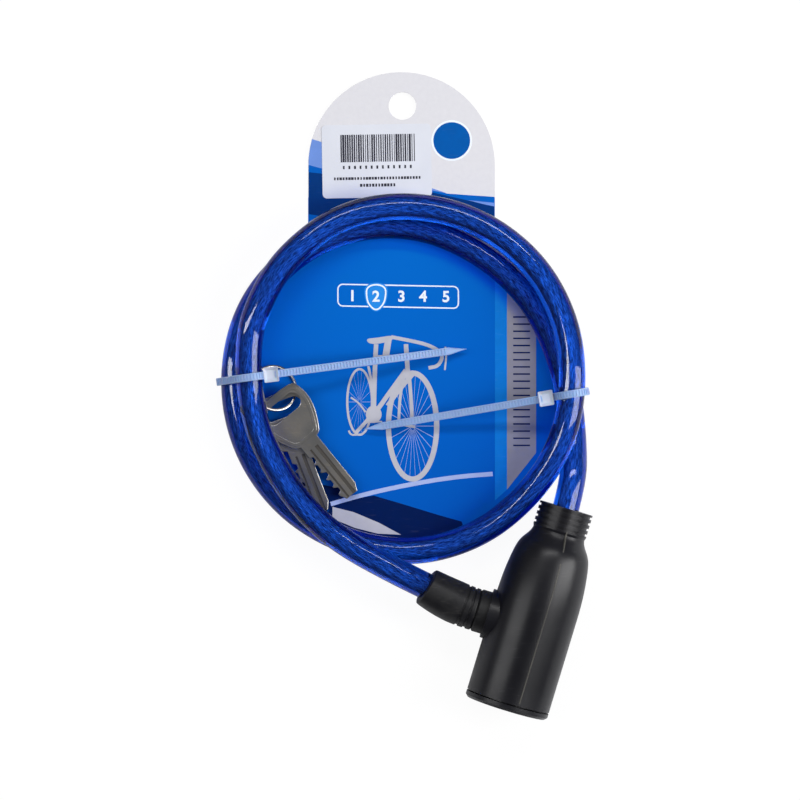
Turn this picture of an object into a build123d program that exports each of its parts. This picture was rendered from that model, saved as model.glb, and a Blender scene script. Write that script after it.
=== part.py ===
from build123d import *
import math
import os

# Cable lock on its hang card: a coiled, plastic-covered steel rope whose plug
# enters the side of a bottle-shaped lock barrel.  Millimetres, +Z up.  Places are
# given from the middle of the coil on the back face of the card, and save() moves
# each piece into the part's frame, whose origin is the middle of the base.

# ------------------------------------------------------------ driving sizes
# card and label
card_thickness = 0.6
card_tab_width = 62.0
card_tab_x = -1.5
card_tab_arc_y = 69.6
card_body_radius = 54.6
card_body_centre = (-1.0, -1.0)
hang_hole_radius = 4.6
hang_hole_centre = (-1.2, 89.4)
label_size = (36.3, 24.3)
label_centre = (-9.7, 71.1)
label_turn = 1.0
label_thickness = 0.15
label_corner = 1.5

# cable ties
strap_thickness = 1.0
strap_width = 2.5
strap_gap = 0.05
strand_gap = 0.5
slot_length = 2.2
slot_side_gap = 0.45
head_size = (4.8, 5.0, 4.4)
head_height = 14.2
left_head = (-44.3, 0.1)
left_tie_turn = 187.6
left_tail_length = 62.5
right_head = (45.9, -7.7)
right_tie_turn = 9.7
right_tail_length = 58.3
tail_tip_height = 2.4
tail_tip_thickness = 0.6
tail_tip_taper = 4.0
tail_step = 0.8
tail_into_head = 1.0
strap_corner = 0.3
strap_floor_gap = 0.05

# cable
sheath_radius = 4.4
rope_radius = 2.25
largest_arc_share = 0.45
neck_exit_run = 8.0
straight_before_boot = 11.5

# barrel and its sleeve
sleeve_radius = 14.0
sleeve_start = 2.6
barrel_length = 68.6
straight_length = 34.0
neck_start = 60.0
neck_radius = 9.0
neck_step = 0.3
neck_lead = 0.8
shoulder_points = [(13.6, 44.0), (12.9, 49.6), (11.3, 55.2)]
first_rib = 1.4
rib_count = 4
rib_pitch = 1.9
rib_groove_width = 0.8
rib_groove_depth = 0.6
barrel_end_xy = (32.8, -109.4)
barrel_turn = 73.1
cap_thickness = 2.1
cap_rim = 0.8
cap_spigot_gap = 0.1

# lock case
case_radius = 11.6
case_start = 5.2
case_end = 42.0
boss_radius = 8.6
boss_end = 54.0
chamber_end = 23.0

# core, housing and wafers
core_radius = 4.9
core_gap = 0.1
core_face = 0.5
core_end = 18.6
housing_radius = 7.5
housing_end = 17.6
channel_gap = 0.6
key_slot = (2.2, 7.6)
wafer_count = 5
wafer_first = 6.4
wafer_pitch = 2.3
wafer_size = (4.0, 8.8)
wafer_thickness = 1.0
wafer_window = (2.3, 5.6)
wafer_slot_gap = 0.1
wafer_travel = 0.8
lug_size = (1.3, 0.9)
spring_radius = 0.5
spring_length = 2.0
spring_wall = 0.2
spring_end_gap = 0.05
pocket_gap = 0.2
keyway_end_wall = 0.4

# cam and latch
clip_start = 17.75
clip_thickness = 0.7
clip_radius = 6.2
clip_groove_radius = 4.0
clip_mouth = 6.4
tenon_side = 3.0
cam_start = 18.75
cam_radius = 4.2
cam_thickness = 1.6
cam_web = 0.5
cam_pin_radius = 1.0
cam_pin_throw = 1.8
cam_pin_length = 2.3
latch_start = 20.6
latch_thickness = 2.2
latch_width = 5.0
latch_back = -7.0
latch_front = 4.4
nose_width = 2.8
nose_front = -3.25
nose_top = 25.4
latch_gap = 0.15
latch_slot_run = 1.4

# plug: bolt, ferrule and boot
socket_height = 28.0
bolt_radius = 4.0
bolt_gap = 0.12
bolt_tip = -5.5
bolt_tip_chamfer = 1.2
bolt_face_gap = 0.4
bolt_blind_gap = 0.7
groove_radius = 2.4
groove_half_width = 1.6
collar_radius = 7.1
collar_start = 11.7
collar_end = 18.6
collar_rim = 0.4
saddle_radius = 8.3
saddle_end = 15.0
boot_gap = 0.6
boot_radius = 7.0
boot_end_radius = 6.25
boot_end = (6.6, -69.4, 14.2)
boot_cable_depth = 4.5
shank_radius = 3.0
shank_end = 26.0
bolt_ferrule_radius = 3.3
bolt_ferrule_length = 5.0
rope_in_bolt_ferrule = 4.0

# neck ferrule and its pin
ferrule_radius = 6.0
ferrule_start = 46.0
ferrule_end = 58.0
ferrule_pin_radius = 1.25
ferrule_pin_height = 49.0
ferrule_pin_inset = 0.3
rope_start = 51.6

# keys and ring
ring_radius = 7.46
ring_wire = (0.9, 0.8)
ring_centre = (-43.5, -4.3)
ring_tilt = 25.0
ring_high_side = 215.0
ring_card_gap = 0.12
key_thickness = 1.5
key_gap = 0.15
key_hole = (13.8, 5.6)
key_hole_from_shoulder = 15.3
key_blade = (21.2, 6.8)
key_tip = 2.6
key_tip_chamfer = 1.2
key_bow = [(-2.3, 5.5), (-11.6, 9.8), (-19.6, 8.9), (-20.6, 6.5), (-21.0, 0)]
key_bow_start = -1.5
key_slope = -0.055
key_roll = 0.03
key_1_hole_xy = (-40.8, -11.25)
key_stack_drop = 0.62
key_1_turn = -51.0
key_2_hole_xy = (-41.0, -11.3)
key_2_turn = -69.0
key_groove = (1.2, 0.35)
key_groove_offset = 0.9
cut_depths = (1.2, 0.6, 1.5, 0.9, 1.3)
cut_pitch = 3.2
cut_first = 4.2
cut_width = 3.0
cut_flank = 75

# ------------------------------------------------------------ derived frames
floor = -strap_gap - strap_thickness - strap_floor_gap
card_top = card_thickness
base_middle_shift = (0.76, 6.32, -floor)
barrel_z = floor + sleeve_radius
barrel_end = Vector(barrel_end_xy[0], barrel_end_xy[1], barrel_z)
barrel_dir = Vector(math.cos(math.radians(barrel_turn)), math.sin(math.radians(barrel_turn)), 0)
plug_dir = Vector(-barrel_dir.Y, barrel_dir.X, 0)
barrel_axis = Axis(barrel_end, barrel_dir)
half_section = Plane(origin=barrel_end, x_dir=plug_dir, z_dir=(0, 0, -1))
socket_centre = barrel_end + barrel_dir * socket_height


def across(height):
    """Plane square to the barrel's axis, at a height from the keyhole end."""
    return Plane(origin=barrel_end + barrel_dir * height, x_dir=plug_dir, z_dir=barrel_dir)


def toward_plug(distance):
    """Plane square to the bolt, at a distance from the barrel's axis."""
    return Plane(origin=socket_centre + plug_dir * distance, x_dir=barrel_dir, z_dir=plug_dir)


def save(piece, name):
    placed = piece.part.moved(Location(base_middle_shift))
    placed.label = name
    export_step(placed, f"parts/{name}.step")


os.makedirs("parts", exist_ok=True)

# ------------------------------------------------------------ cable route
boot_face = socket_centre + plug_dir * (collar_end + boot_gap)
boot_dir = (boot_face - Vector(*boot_end)).normalized()
boot_entry = Vector(*boot_end)


def on_coil(angle, radius, height):
    turn = math.radians(angle)
    return Vector(radius * math.cos(turn), radius * math.sin(turn), height)


first_turn = [
    (-22, 59.9, 4.95), (-5, 53.9, 5.0), (15, 50.3, 5.0), (37, 48.4, 5.0), (60, 47.8, 5.0),
    (84, 49.7, 5.0), (108, 52.2, 5.0), (132, 54.8, 5.0), (156, 57.2, 5.0), (180, 57.9, 5.1),
    (203, 58.7, 6.7), (226, 59.2, 7.65), (249, 59.25, 5.25), (272, 59.4, 5.5), (294, 58.3, 8.6),
]
second_turn = [
    (315, 56.7, 11.7), (335, 56.3, 14.5), (356, 55.4, 14.4), (378, 55.8, 13.0), (401, 56.4, 11.3),
    (425, 56.5, 11.0), (449, 56.5, 11.9), (472, 56.8, 13.6), (494, 55.2, 14.6), (511, 54.1, 14.3),
    (528, 53.5, 13.3),
]
tail_turn = [(554, 52.3, 12.9), (572, 52.5, 14.3), (589, 54.6, 15.7)]
over_the_coil = Vector(-23.5, -53.3, 15.6)
before_boot = boot_entry - boot_dir * straight_before_boot

coil_points = [on_coil(*p) for p in first_turn + second_turn]
tail_points = [on_coil(*p) for p in tail_turn] + [over_the_coil, before_boot]
tie_split = (coil_points[-1] + tail_points[0]) * 0.5
neck_point = barrel_end + barrel_dir * (barrel_length + neck_exit_run)
sheath_coil_route = [barrel_end + barrel_dir * ferrule_end, neck_point] + coil_points + [tie_split]
rope_coil_route = [barrel_end + barrel_dir * rope_start] + sheath_coil_route[1:]
sheath_tail_route = [tie_split] + tail_points + [boot_entry + boot_dir * boot_cable_depth]
rope_tail_end = boot_entry + boot_dir * (boot_cable_depth + rope_in_bolt_ferrule)
rope_tail_route = sheath_tail_route[:-1] + [rope_tail_end]


def arc_radii(points):
    """Largest tangent arc at each corner that its two runs allow."""
    radii = []
    for before, corner, after in zip(points, points[1:], points[2:]):
        incoming, outgoing = corner - before, after - corner
        shorter = min(incoming.length, outgoing.length)
        half_turn = math.radians(incoming.get_angle(outgoing)) / 2
        radii.append(largest_arc_share * shorter / math.tan(half_turn))
    return radii


def cable(points, radii, outer, inner):
    """A round tube, or a rod where inner is 0, along runs joined by arcs."""
    with BuildPart() as piece:
        with BuildLine() as route:
            FilletPolyline(*points, radius=radii)
        centre_line = route.wires()[0]
        with BuildSketch(Plane(origin=centre_line @ 0, z_dir=centre_line % 0)):
            Circle(outer)
            if inner:
                Circle(inner, mode=Mode.SUBTRACT)
        sweep(path=centre_line)
    length = centre_line.length
    share = piece.part.volume / (math.pi * (outer ** 2 - inner ** 2) * length)
    print(f"length {length:.1f}  volume/section*length {share:.4f}  least arc {min(radii):.1f}")
    print("  arcs " + " ".join(f"{r:.0f}" for r in radii))
    return piece, centre_line


coil_radii = arc_radii(sheath_coil_route)
tail_radii = arc_radii(sheath_tail_route)
sheath_coil, coil_line = cable(sheath_coil_route, coil_radii, sheath_radius, rope_radius)
save(sheath_coil, "cable_sheath_coil")
rope_coil, _ = cable(rope_coil_route, coil_radii, rope_radius, 0)
save(rope_coil, "wire_rope_coil")
sheath_tail, _ = cable(sheath_tail_route, tail_radii, sheath_radius, rope_radius)
save(sheath_tail, "cable_sheath_tail")
rope_tail, _ = cable(rope_tail_route, tail_radii, rope_radius, 0)
save(rope_tail, "wire_rope_tail")

# ------------------------------------------------------------ barrel sleeve
with BuildPart() as outer_sleeve:
    with BuildSketch(half_section):
        with BuildLine():
            bottom = Polyline((0, sleeve_start), (sleeve_radius, sleeve_start), (sleeve_radius, straight_length))
            shoulder = Spline(
                bottom @ 1, *shoulder_points, (neck_radius - neck_step, neck_start),
                tangents=[(0, 1), (-0.15, 1)],
            )
            Polyline(shoulder @ 1, (neck_radius, neck_start + neck_lead), (neck_radius, barrel_length), (0, barrel_length))
            Line((0, barrel_length), (0, sleeve_start))
        make_face()
    revolve(axis=barrel_axis)
    with BuildSketch(toward_plug(0)):
        Circle(saddle_radius)
    extrude(amount=saddle_end)
    for rib in range(rib_count):
        with BuildSketch(across(neck_start + first_rib + rib * rib_pitch)):
            Circle(neck_radius + 1)
            Circle(neck_radius - rib_groove_depth, mode=Mode.SUBTRACT)
        extrude(amount=rib_groove_width, mode=Mode.SUBTRACT)
    with BuildSketch(across(0)):
        Circle(case_radius)
    extrude(amount=case_end, mode=Mode.SUBTRACT)
    with BuildSketch(across(case_end)):
        Circle(boss_radius)
    extrude(amount=boss_end - case_end, mode=Mode.SUBTRACT)
    with BuildSketch(across(boss_end)):
        Circle(ferrule_radius)
    extrude(amount=ferrule_end - boss_end, mode=Mode.SUBTRACT)
    with BuildSketch(across(ferrule_end)):
        Circle(sheath_radius)
    extrude(amount=barrel_length - ferrule_end, mode=Mode.SUBTRACT)
    with BuildSketch(toward_plug(0)):
        Circle(collar_radius)
    extrude(amount=saddle_end, mode=Mode.SUBTRACT)
save(outer_sleeve, "outer_sleeve")

with BuildPart() as end_cap:
    with BuildSketch(across(0)):
        Circle(sleeve_radius)
    extrude(amount=cap_thickness)
    chamfer(end_cap.edges().sort_by(barrel_axis)[0], cap_rim)
    with BuildSketch(across(cap_thickness)):
        Circle(case_radius - cap_spigot_gap)
    extrude(amount=case_start - cap_thickness - cap_spigot_gap)
    with BuildSketch(across(0)):
        Circle(core_radius + core_gap)
    extrude(amount=case_start, mode=Mode.SUBTRACT)
save(end_cap, "end_cap")

with BuildPart() as socket_collar:
    with BuildSketch(toward_plug(collar_start)):
        Circle(collar_radius)
        Circle(bolt_radius + bolt_gap, mode=Mode.SUBTRACT)
    extrude(amount=collar_end - collar_start)
    chamfer(socket_collar.edges().filter_by(GeomType.CIRCLE).sort_by(Axis(socket_centre, plug_dir))[-2:], collar_rim)
save(socket_collar, "socket_collar")

# ------------------------------------------------------------ lock case
pin_travel = 2 * cam_pin_throw * math.sin(math.radians(45))
with BuildPart() as lock_case:
    with BuildSketch(across(case_start)):
        Circle(case_radius)
    extrude(amount=case_end - case_start)
    with BuildSketch(across(case_end)):
        Circle(boss_radius)
    extrude(amount=boss_end - case_end)
    with BuildSketch(across(case_start)):
        Circle(housing_radius)
    extrude(amount=chamber_end - case_start, mode=Mode.SUBTRACT)
    with BuildSketch(toward_plug(bolt_tip - bolt_blind_gap)):
        Circle(bolt_radius + bolt_gap)
    extrude(amount=case_radius - bolt_tip + bolt_blind_gap, mode=Mode.SUBTRACT)
    with BuildSketch(across(chamber_end)):
        nose_slot_top = nose_front + pin_travel + latch_gap
        nose_slot_low = latch_back - latch_gap
        with Locations((0, (nose_slot_top + nose_slot_low) / 2)):
            Rectangle(nose_width + 2 * latch_gap, nose_slot_top - nose_slot_low)
    extrude(amount=nose_top + latch_gap - chamber_end, mode=Mode.SUBTRACT)
    with BuildSketch(across(ferrule_start)):
        Circle(ferrule_radius)
    extrude(amount=boss_end - ferrule_start, mode=Mode.SUBTRACT)
    with BuildSketch(Plane(origin=barrel_end + barrel_dir * ferrule_pin_height)):
        Circle(ferrule_pin_radius)
    extrude(amount=boss_radius, both=True, mode=Mode.SUBTRACT)
save(lock_case, "lock_case")

with BuildPart() as cable_ferrule:
    with BuildSketch(across(ferrule_start)):
        Circle(ferrule_radius)
    extrude(amount=ferrule_end - ferrule_start)
    with BuildSketch(across(rope_start)):
        Circle(rope_radius)
    extrude(amount=ferrule_end - rope_start, mode=Mode.SUBTRACT)
    with BuildSketch(Plane(origin=barrel_end + barrel_dir * ferrule_pin_height)):
        Circle(ferrule_pin_radius)
    extrude(amount=boss_radius, both=True, mode=Mode.SUBTRACT)
save(cable_ferrule, "cable_ferrule")

with BuildPart() as ferrule_pin:
    with BuildSketch(Plane(origin=barrel_end + barrel_dir * ferrule_pin_height)):
        Circle(ferrule_pin_radius)
    extrude(amount=boss_radius - ferrule_pin_inset, both=True)
save(ferrule_pin, "ferrule_pin")

# ------------------------------------------------------------ core and wafers
with BuildPart() as core_housing:
    with BuildSketch(across(case_start)):
        Circle(housing_radius)
        Circle(core_radius + core_gap, mode=Mode.SUBTRACT)
        channel = 2 * (wafer_size[1] / 2 + wafer_travel + channel_gap)
        Rectangle(wafer_size[0] + channel_gap, channel, mode=Mode.SUBTRACT)
        Rectangle(channel, wafer_size[0] + channel_gap, mode=Mode.SUBTRACT)
    extrude(amount=housing_end - case_start)
save(core_housing, "core_housing")

wafer_slot = wafer_thickness + 2 * wafer_slot_gap
lug_reach = wafer_size[0] / 2 + lug_size[0]
pocket_low = -lug_size[1] - spring_length - 2 * spring_end_gap
pocket_top = wafer_travel + pocket_gap
wafer_heights = [wafer_first + i * wafer_pitch for i in range(wafer_count)]

with BuildPart() as lock_core:
    with BuildSketch(across(core_face)):
        Circle(core_radius)
    extrude(amount=core_end - core_face)
    with BuildSketch(across(clip_start)):
        Circle(core_radius)
        Circle(clip_groove_radius, mode=Mode.SUBTRACT)
    extrude(amount=clip_thickness, mode=Mode.SUBTRACT)
    with BuildSketch(across(core_end)):
        Rectangle(tenon_side, tenon_side)
    extrude(amount=cam_start + cam_thickness - cam_web - core_end)
    with BuildSketch(across(core_face)):
        Rectangle(*key_slot)
    extrude(amount=clip_start - core_face - keyway_end_wall, mode=Mode.SUBTRACT)
    for height in wafer_heights:
        with BuildSketch(across(height - wafer_slot_gap)):
            Rectangle(wafer_size[0] + wafer_slot_gap, 2 * core_radius)
            with Locations((lug_reach / 2, (pocket_low + pocket_top) / 2)):
                Rectangle(lug_reach + pocket_gap, pocket_top - pocket_low)
        extrude(amount=wafer_slot, mode=Mode.SUBTRACT)
save(lock_core, "lock_core")

for number, height in enumerate(wafer_heights, start=1):
    with BuildPart() as wafer:
        with BuildSketch(across(height)):
            Rectangle(*wafer_size)
            with Locations((lug_reach / 2, -lug_size[1] / 2)):
                Rectangle(lug_reach, lug_size[1])
            Rectangle(*wafer_window, mode=Mode.SUBTRACT)
        extrude(amount=wafer_thickness)
    save(wafer, f"wafer_{number}")

with BuildPart() as wafer_springs:
    for height in wafer_heights:
        seat = across(height + wafer_thickness / 2)
        spring_x = lug_reach - lug_size[0] / 2
        foot = seat.from_local_coords(Vector(spring_x, pocket_low + spring_end_gap, 0))
        with BuildSketch(Plane(origin=foot, z_dir=(0, 0, 1))):
            Circle(spring_radius)
            Circle(spring_radius - spring_wall, mode=Mode.SUBTRACT)
        extrude(amount=spring_length)
save(wafer_springs, "wafer_springs")

with BuildPart() as core_clip:
    with BuildSketch(across(clip_start)):
        Circle(clip_radius)
        Circle(clip_groove_radius, mode=Mode.SUBTRACT)
        with Locations((0, -clip_radius)):
            Rectangle(clip_mouth, 2 * clip_radius, mode=Mode.SUBTRACT)
    extrude(amount=clip_thickness)
save(core_clip, "core_clip")

pin_offset = cam_pin_throw * math.cos(math.radians(45))
with BuildPart() as core_cam:
    with BuildSketch(across(cam_start)):
        Circle(cam_radius)
    extrude(amount=cam_thickness)
    with BuildSketch(across(cam_start)):
        Rectangle(tenon_side, tenon_side)
    extrude(amount=cam_thickness - cam_web, mode=Mode.SUBTRACT)
    with BuildSketch(across(cam_start + cam_thickness)):
        with Locations((pin_offset, -pin_offset)):
            Circle(cam_pin_radius)
    extrude(amount=cam_pin_length)
save(core_cam, "core_cam")

with BuildPart() as latch_bar:
    with BuildSketch(across(latch_start)):
        with Locations((0, (latch_back + latch_front) / 2)):
            Rectangle(latch_width, latch_front - latch_back)
        with Locations(((pin_offset + cam_pin_throw) / 2, -pin_offset)):
            slot_width = 2 * (cam_pin_radius + latch_gap)
            SlotCenterToCenter(latch_slot_run, slot_width, mode=Mode.SUBTRACT)
    extrude(amount=latch_thickness)
    with BuildSketch(across(latch_start + latch_thickness)):
        with Locations((0, (latch_back + nose_front) / 2)):
            Rectangle(nose_width, nose_front - latch_back)
    extrude(amount=nose_top - latch_start - latch_thickness)
save(latch_bar, "latch_bar")

# ------------------------------------------------------------ plug
with BuildPart() as locking_bolt:
    with BuildSketch(toward_plug(bolt_tip)):
        Circle(bolt_radius)
    extrude(amount=collar_end + bolt_face_gap - bolt_tip)
    chamfer(locking_bolt.edges().sort_by(Axis(socket_centre, plug_dir))[0], bolt_tip_chamfer)
    with BuildSketch(toward_plug(-groove_half_width)):
        Circle(bolt_radius + 1)
        Circle(groove_radius, mode=Mode.SUBTRACT)
    extrude(amount=2 * groove_half_width, mode=Mode.SUBTRACT)
    with BuildSketch(toward_plug(collar_end)):
        Circle(shank_radius)
    extrude(amount=shank_end - collar_end)
save(locking_bolt, "locking_bolt")

boot_end_plane = Plane(origin=boot_entry, z_dir=boot_dir)
with BuildPart() as plug_boot:
    with BuildSketch(Plane(origin=boot_face, z_dir=plug_dir)):
        Circle(boot_radius)
    with BuildSketch(Plane(origin=boot_entry, z_dir=-boot_dir)):
        Circle(boot_end_radius)
    loft()
    with BuildSketch(boot_end_plane):
        Circle(sheath_radius)
    extrude(amount=boot_cable_depth, mode=Mode.SUBTRACT)
    with BuildSketch(boot_end_plane):
        Circle(bolt_ferrule_radius)
    extrude(amount=boot_cable_depth + bolt_ferrule_length, mode=Mode.SUBTRACT)
    with BuildSketch(toward_plug(collar_end)):
        Circle(shank_radius)
    extrude(amount=shank_end - collar_end, mode=Mode.SUBTRACT)
save(plug_boot, "plug_boot")

with BuildPart() as bolt_ferrule:
    with BuildSketch(boot_end_plane.offset(boot_cable_depth)):
        Circle(bolt_ferrule_radius)
    extrude(amount=bolt_ferrule_length)
    with BuildSketch(boot_end_plane.offset(boot_cable_depth)):
        Circle(rope_radius)
    extrude(amount=rope_in_bolt_ferrule, mode=Mode.SUBTRACT)
save(bolt_ferrule, "bolt_ferrule")


# ------------------------------------------------------------ ties
def crossing(line, plane):
    """Where the cable's centre line goes through a tie's plane, near the tie."""
    steps = 600
    found = []
    places = [plane.to_local_coords(line @ (i / steps)) for i in range(steps + 1)]
    for before, after in zip(places, places[1:]):
        if before.Z * after.Z < 0 and before.X > 0:
            share = before.Z / (before.Z - after.Z)
            found.append((before.X + share * (after.X - before.X), before.Y + share * (after.Y - before.Y)))
    return found


def tie_plane(head_xy, turn):
    """Upright plane along a tie: X outwards from the head, Y up, Z across the strap."""
    out = Vector(math.cos(math.radians(turn)), math.sin(math.radians(turn)), 0)
    return Plane(origin=(head_xy[0], head_xy[1], 0), x_dir=out, z_dir=out.cross(Vector(0, 0, 1)))


def card_edge(head_xy, turn):
    """Distance from the head to the card's rim along the tie."""
    out = Vector(math.cos(math.radians(turn)), math.sin(math.radians(turn)), 0)
    from_centre = Vector(head_xy[0] - card_body_centre[0], head_xy[1] - card_body_centre[1], 0)
    along = from_centre.dot(out)
    return -along + math.sqrt(along ** 2 + card_body_radius ** 2 - from_centre.length ** 2)


def tie(head_xy, turn, strands, tail_length):
    """Closed strap round the strands and the card, with its head and free tail."""
    plane = tie_plane(head_xy, turn)
    corner = strap_corner
    low = corner - strap_gap
    rounds = [(x, y, sheath_radius + strand_gap) for x, y in strands]
    rounds += [(slot_length / 4 + corner, low, corner)]
    rounds += [(card_edge(head_xy, turn) + corner, low, corner)]
    with BuildPart() as piece:
        for grow, mode in ((strap_thickness, Mode.ADD), (0, Mode.SUBTRACT)):
            with BuildSketch(plane):
                with BuildLine():
                    for x, y, radius in rounds:
                        CenterArc((x, y), radius + grow, 0, 360)
                make_hull()
            extrude(amount=strap_width / 2, both=True, mode=mode)
        with BuildSketch(plane):
            with Locations((0, head_height)):
                Rectangle(head_size[0], head_size[2])
        extrude(amount=head_size[1] / 2, both=True)
        with BuildSketch(plane):
            with BuildLine():
                start = -head_size[0] / 2
                Polyline(
                    (start + tail_into_head, head_height), (start, head_height),
                    (start - tail_length, tail_tip_height), (start - tail_length, tail_tip_height + tail_tip_thickness),
                    (start - tail_length + tail_tip_taper, tail_tip_height + strap_thickness + tail_step),
                    (start, head_height + strap_thickness), (start + tail_into_head, head_height + strap_thickness),
                    close=True,
                )
            make_face()
        extrude(amount=strap_width / 2, both=True)
    return piece


left_plane = tie_plane(left_head, left_tie_turn)
left_strands = [crossing(coil_line, left_plane)[0], left_plane.to_local_coords(tie_split)]
left_strands[1] = (left_strands[1].X, left_strands[1].Y)
right_plane = tie_plane(right_head, right_tie_turn)
right_strands = crossing(coil_line, right_plane)[:2]
print("left strands", left_strands, "right strands", right_strands)
save(tie(left_head, left_tie_turn, left_strands, left_tail_length), "left_tie")
save(tie(right_head, right_tie_turn, right_strands, right_tail_length), "right_tie")

# ------------------------------------------------------------ card and label
with BuildPart() as hang_card:
    with BuildSketch():
        with Locations(card_body_centre):
            Circle(card_body_radius)
        with Locations((card_tab_x, card_tab_arc_y)):
            Circle(card_tab_width / 2)
        with Locations((card_tab_x, card_tab_arc_y / 2)):
            Rectangle(card_tab_width, card_tab_arc_y)
        with Locations(hang_hole_centre):
            Circle(hang_hole_radius, mode=Mode.SUBTRACT)
        for head_xy, turn in ((left_head, left_tie_turn), (right_head, right_tie_turn)):
            with Locations(Location((head_xy[0], head_xy[1], 0), (0, 0, turn))):
                Rectangle(slot_length, strap_width + 2 * slot_side_gap, mode=Mode.SUBTRACT)
    extrude(amount=card_thickness)
save(hang_card, "hang_card")

with BuildPart() as price_label:
    with BuildSketch(Plane.XY.offset(card_top)):
        with Locations(Location((label_centre[0], label_centre[1], 0), (0, 0, label_turn))):
            RectangleRounded(*label_size, label_corner)
    extrude(amount=label_thickness)
save(price_label, "price_label")

# ------------------------------------------------------------ ring and keys
tilt = math.radians(ring_tilt)
high = Vector(math.cos(math.radians(ring_high_side)), math.sin(math.radians(ring_high_side)), 0)
ring_drop = (ring_radius + ring_wire[0] / 2) * math.sin(tilt) + ring_wire[1] / 2
ring_z = card_top + ring_card_gap + ring_drop
ring_origin = Vector(ring_centre[0], ring_centre[1], ring_z)
ring_normal = high * -math.sin(tilt) + Vector(0, 0, math.cos(tilt))
ring_plane = Plane(origin=ring_origin, z_dir=ring_normal)

with BuildPart() as key_ring:
    with BuildSketch(ring_plane.offset(-ring_wire[1] / 2)):
        Circle(ring_radius + ring_wire[0] / 2)
        Circle(ring_radius - ring_wire[0] / 2, mode=Mode.SUBTRACT)
    extrude(amount=ring_wire[1])
save(key_ring, "key_ring")

key_axis = Vector(math.cos(math.radians(key_1_turn)), math.sin(math.radians(key_1_turn)), 0)
key_side = Vector(-key_axis.Y, key_axis.X, 0)
lean = key_axis * key_slope + key_side * key_roll
hole_from_ring = Vector(key_1_hole_xy[0], key_1_hole_xy[1], 0) - Vector(ring_centre[0], ring_centre[1], 0)
ring_height_at_hole = ring_z + hole_from_ring.dot(high) * math.tan(tilt)


def key_plane(hole_xy, turn, middle):
    """Mid-plane of a key: X to its tip, Y across, origin at its shoulder."""
    flat = Vector(math.cos(math.radians(turn)), math.sin(math.radians(turn)), 0)
    along = (flat + Vector(0, 0, flat.dot(lean))).normalized()
    normal = Vector(-lean.X, -lean.Y, 1).normalized()
    rise = (Vector(hole_xy[0], hole_xy[1], 0) - Vector(key_1_hole_xy[0], key_1_hole_xy[1], 0)).dot(lean)
    hole = Vector(hole_xy[0], hole_xy[1], middle + rise)
    return Plane(origin=hole + along * key_hole_from_shoulder, x_dir=along, z_dir=normal)


def key(plane):
    half = key_blade[1] / 2
    bow = [(key_bow_start, half)] + key_bow
    outline = [(key_blade[0] - key_tip, half), (key_blade[0], half - key_tip_chamfer), (key_blade[0], key_tip_chamfer - half)]
    outline += [(key_blade[0] - key_tip, -half)]
    outline += [(x, -y) for x, y in bow] + [(x, y) for x, y in reversed(bow[:-1])]
    with BuildPart() as piece:
        with BuildSketch(plane.offset(-key_thickness / 2)):
            with BuildLine():
                Polyline(*outline, close=True)
            make_face()
            with Locations((-key_hole_from_shoulder, 0)):
                SlotOverall(*key_hole, rotation=90, mode=Mode.SUBTRACT)
            for index, depth in enumerate(cut_depths):
                with Locations((cut_first + index * cut_pitch, -half)):
                    Trapezoid(cut_width, 2 * depth, cut_flank, mode=Mode.SUBTRACT)
        extrude(amount=key_thickness)
        with BuildSketch(plane.offset(key_thickness / 2 - key_groove[1])):
            with Locations((key_blade[0] / 2, key_groove_offset)):
                Rectangle(key_blade[0], key_groove[0])
        extrude(amount=key_groove[1], mode=Mode.SUBTRACT)
    return piece


stack = (key_thickness + key_gap) / 2
stack_middle = ring_height_at_hole - key_stack_drop
save(key(key_plane(key_1_hole_xy, key_1_turn, stack_middle + stack)), "key_1")
save(key(key_plane(key_2_hole_xy, key_2_turn, stack_middle - stack)), "key_2")
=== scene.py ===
import math

import bmesh
import bpy
from mathutils import Matrix, Vector


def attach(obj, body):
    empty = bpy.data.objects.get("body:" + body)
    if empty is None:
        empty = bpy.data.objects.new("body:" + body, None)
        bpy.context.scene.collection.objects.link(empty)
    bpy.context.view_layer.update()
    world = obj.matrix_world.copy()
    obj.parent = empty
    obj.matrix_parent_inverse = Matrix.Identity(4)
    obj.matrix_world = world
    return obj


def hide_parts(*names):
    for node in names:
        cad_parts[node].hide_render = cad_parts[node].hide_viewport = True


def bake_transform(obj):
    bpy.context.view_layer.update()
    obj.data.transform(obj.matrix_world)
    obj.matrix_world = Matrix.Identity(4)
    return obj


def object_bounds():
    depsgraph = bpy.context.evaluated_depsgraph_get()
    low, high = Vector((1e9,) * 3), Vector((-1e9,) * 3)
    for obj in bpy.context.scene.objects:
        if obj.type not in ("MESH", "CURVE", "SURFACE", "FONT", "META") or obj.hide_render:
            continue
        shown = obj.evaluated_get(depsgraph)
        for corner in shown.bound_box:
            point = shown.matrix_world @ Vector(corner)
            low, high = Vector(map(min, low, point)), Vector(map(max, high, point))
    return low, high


# A coiled cable lock on its hang card.  Sizes below are millimetres from the middle
# of the coil on the card's back; every mesh is built in metres and FRAME_SHIFT
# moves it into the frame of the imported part, whose origin is the middle of its base.

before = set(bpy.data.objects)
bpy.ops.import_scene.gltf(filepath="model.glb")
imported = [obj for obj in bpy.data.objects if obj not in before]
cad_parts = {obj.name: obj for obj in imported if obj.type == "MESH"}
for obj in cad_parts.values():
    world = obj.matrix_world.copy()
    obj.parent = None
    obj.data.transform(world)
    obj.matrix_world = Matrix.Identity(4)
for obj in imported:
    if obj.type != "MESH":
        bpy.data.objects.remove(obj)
cad_low, cad_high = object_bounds()
MM = 0.001


def mm(x, y, z=0.0):
    return Vector((x, y, z)) * MM


FRAME_SHIFT = mm(0.76, 6.32, 1.1)
UPRIGHT = Vector((0.0, 0.0, 1.0))
ACROSS = Vector((0.0, 1.0, 0.0))


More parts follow.
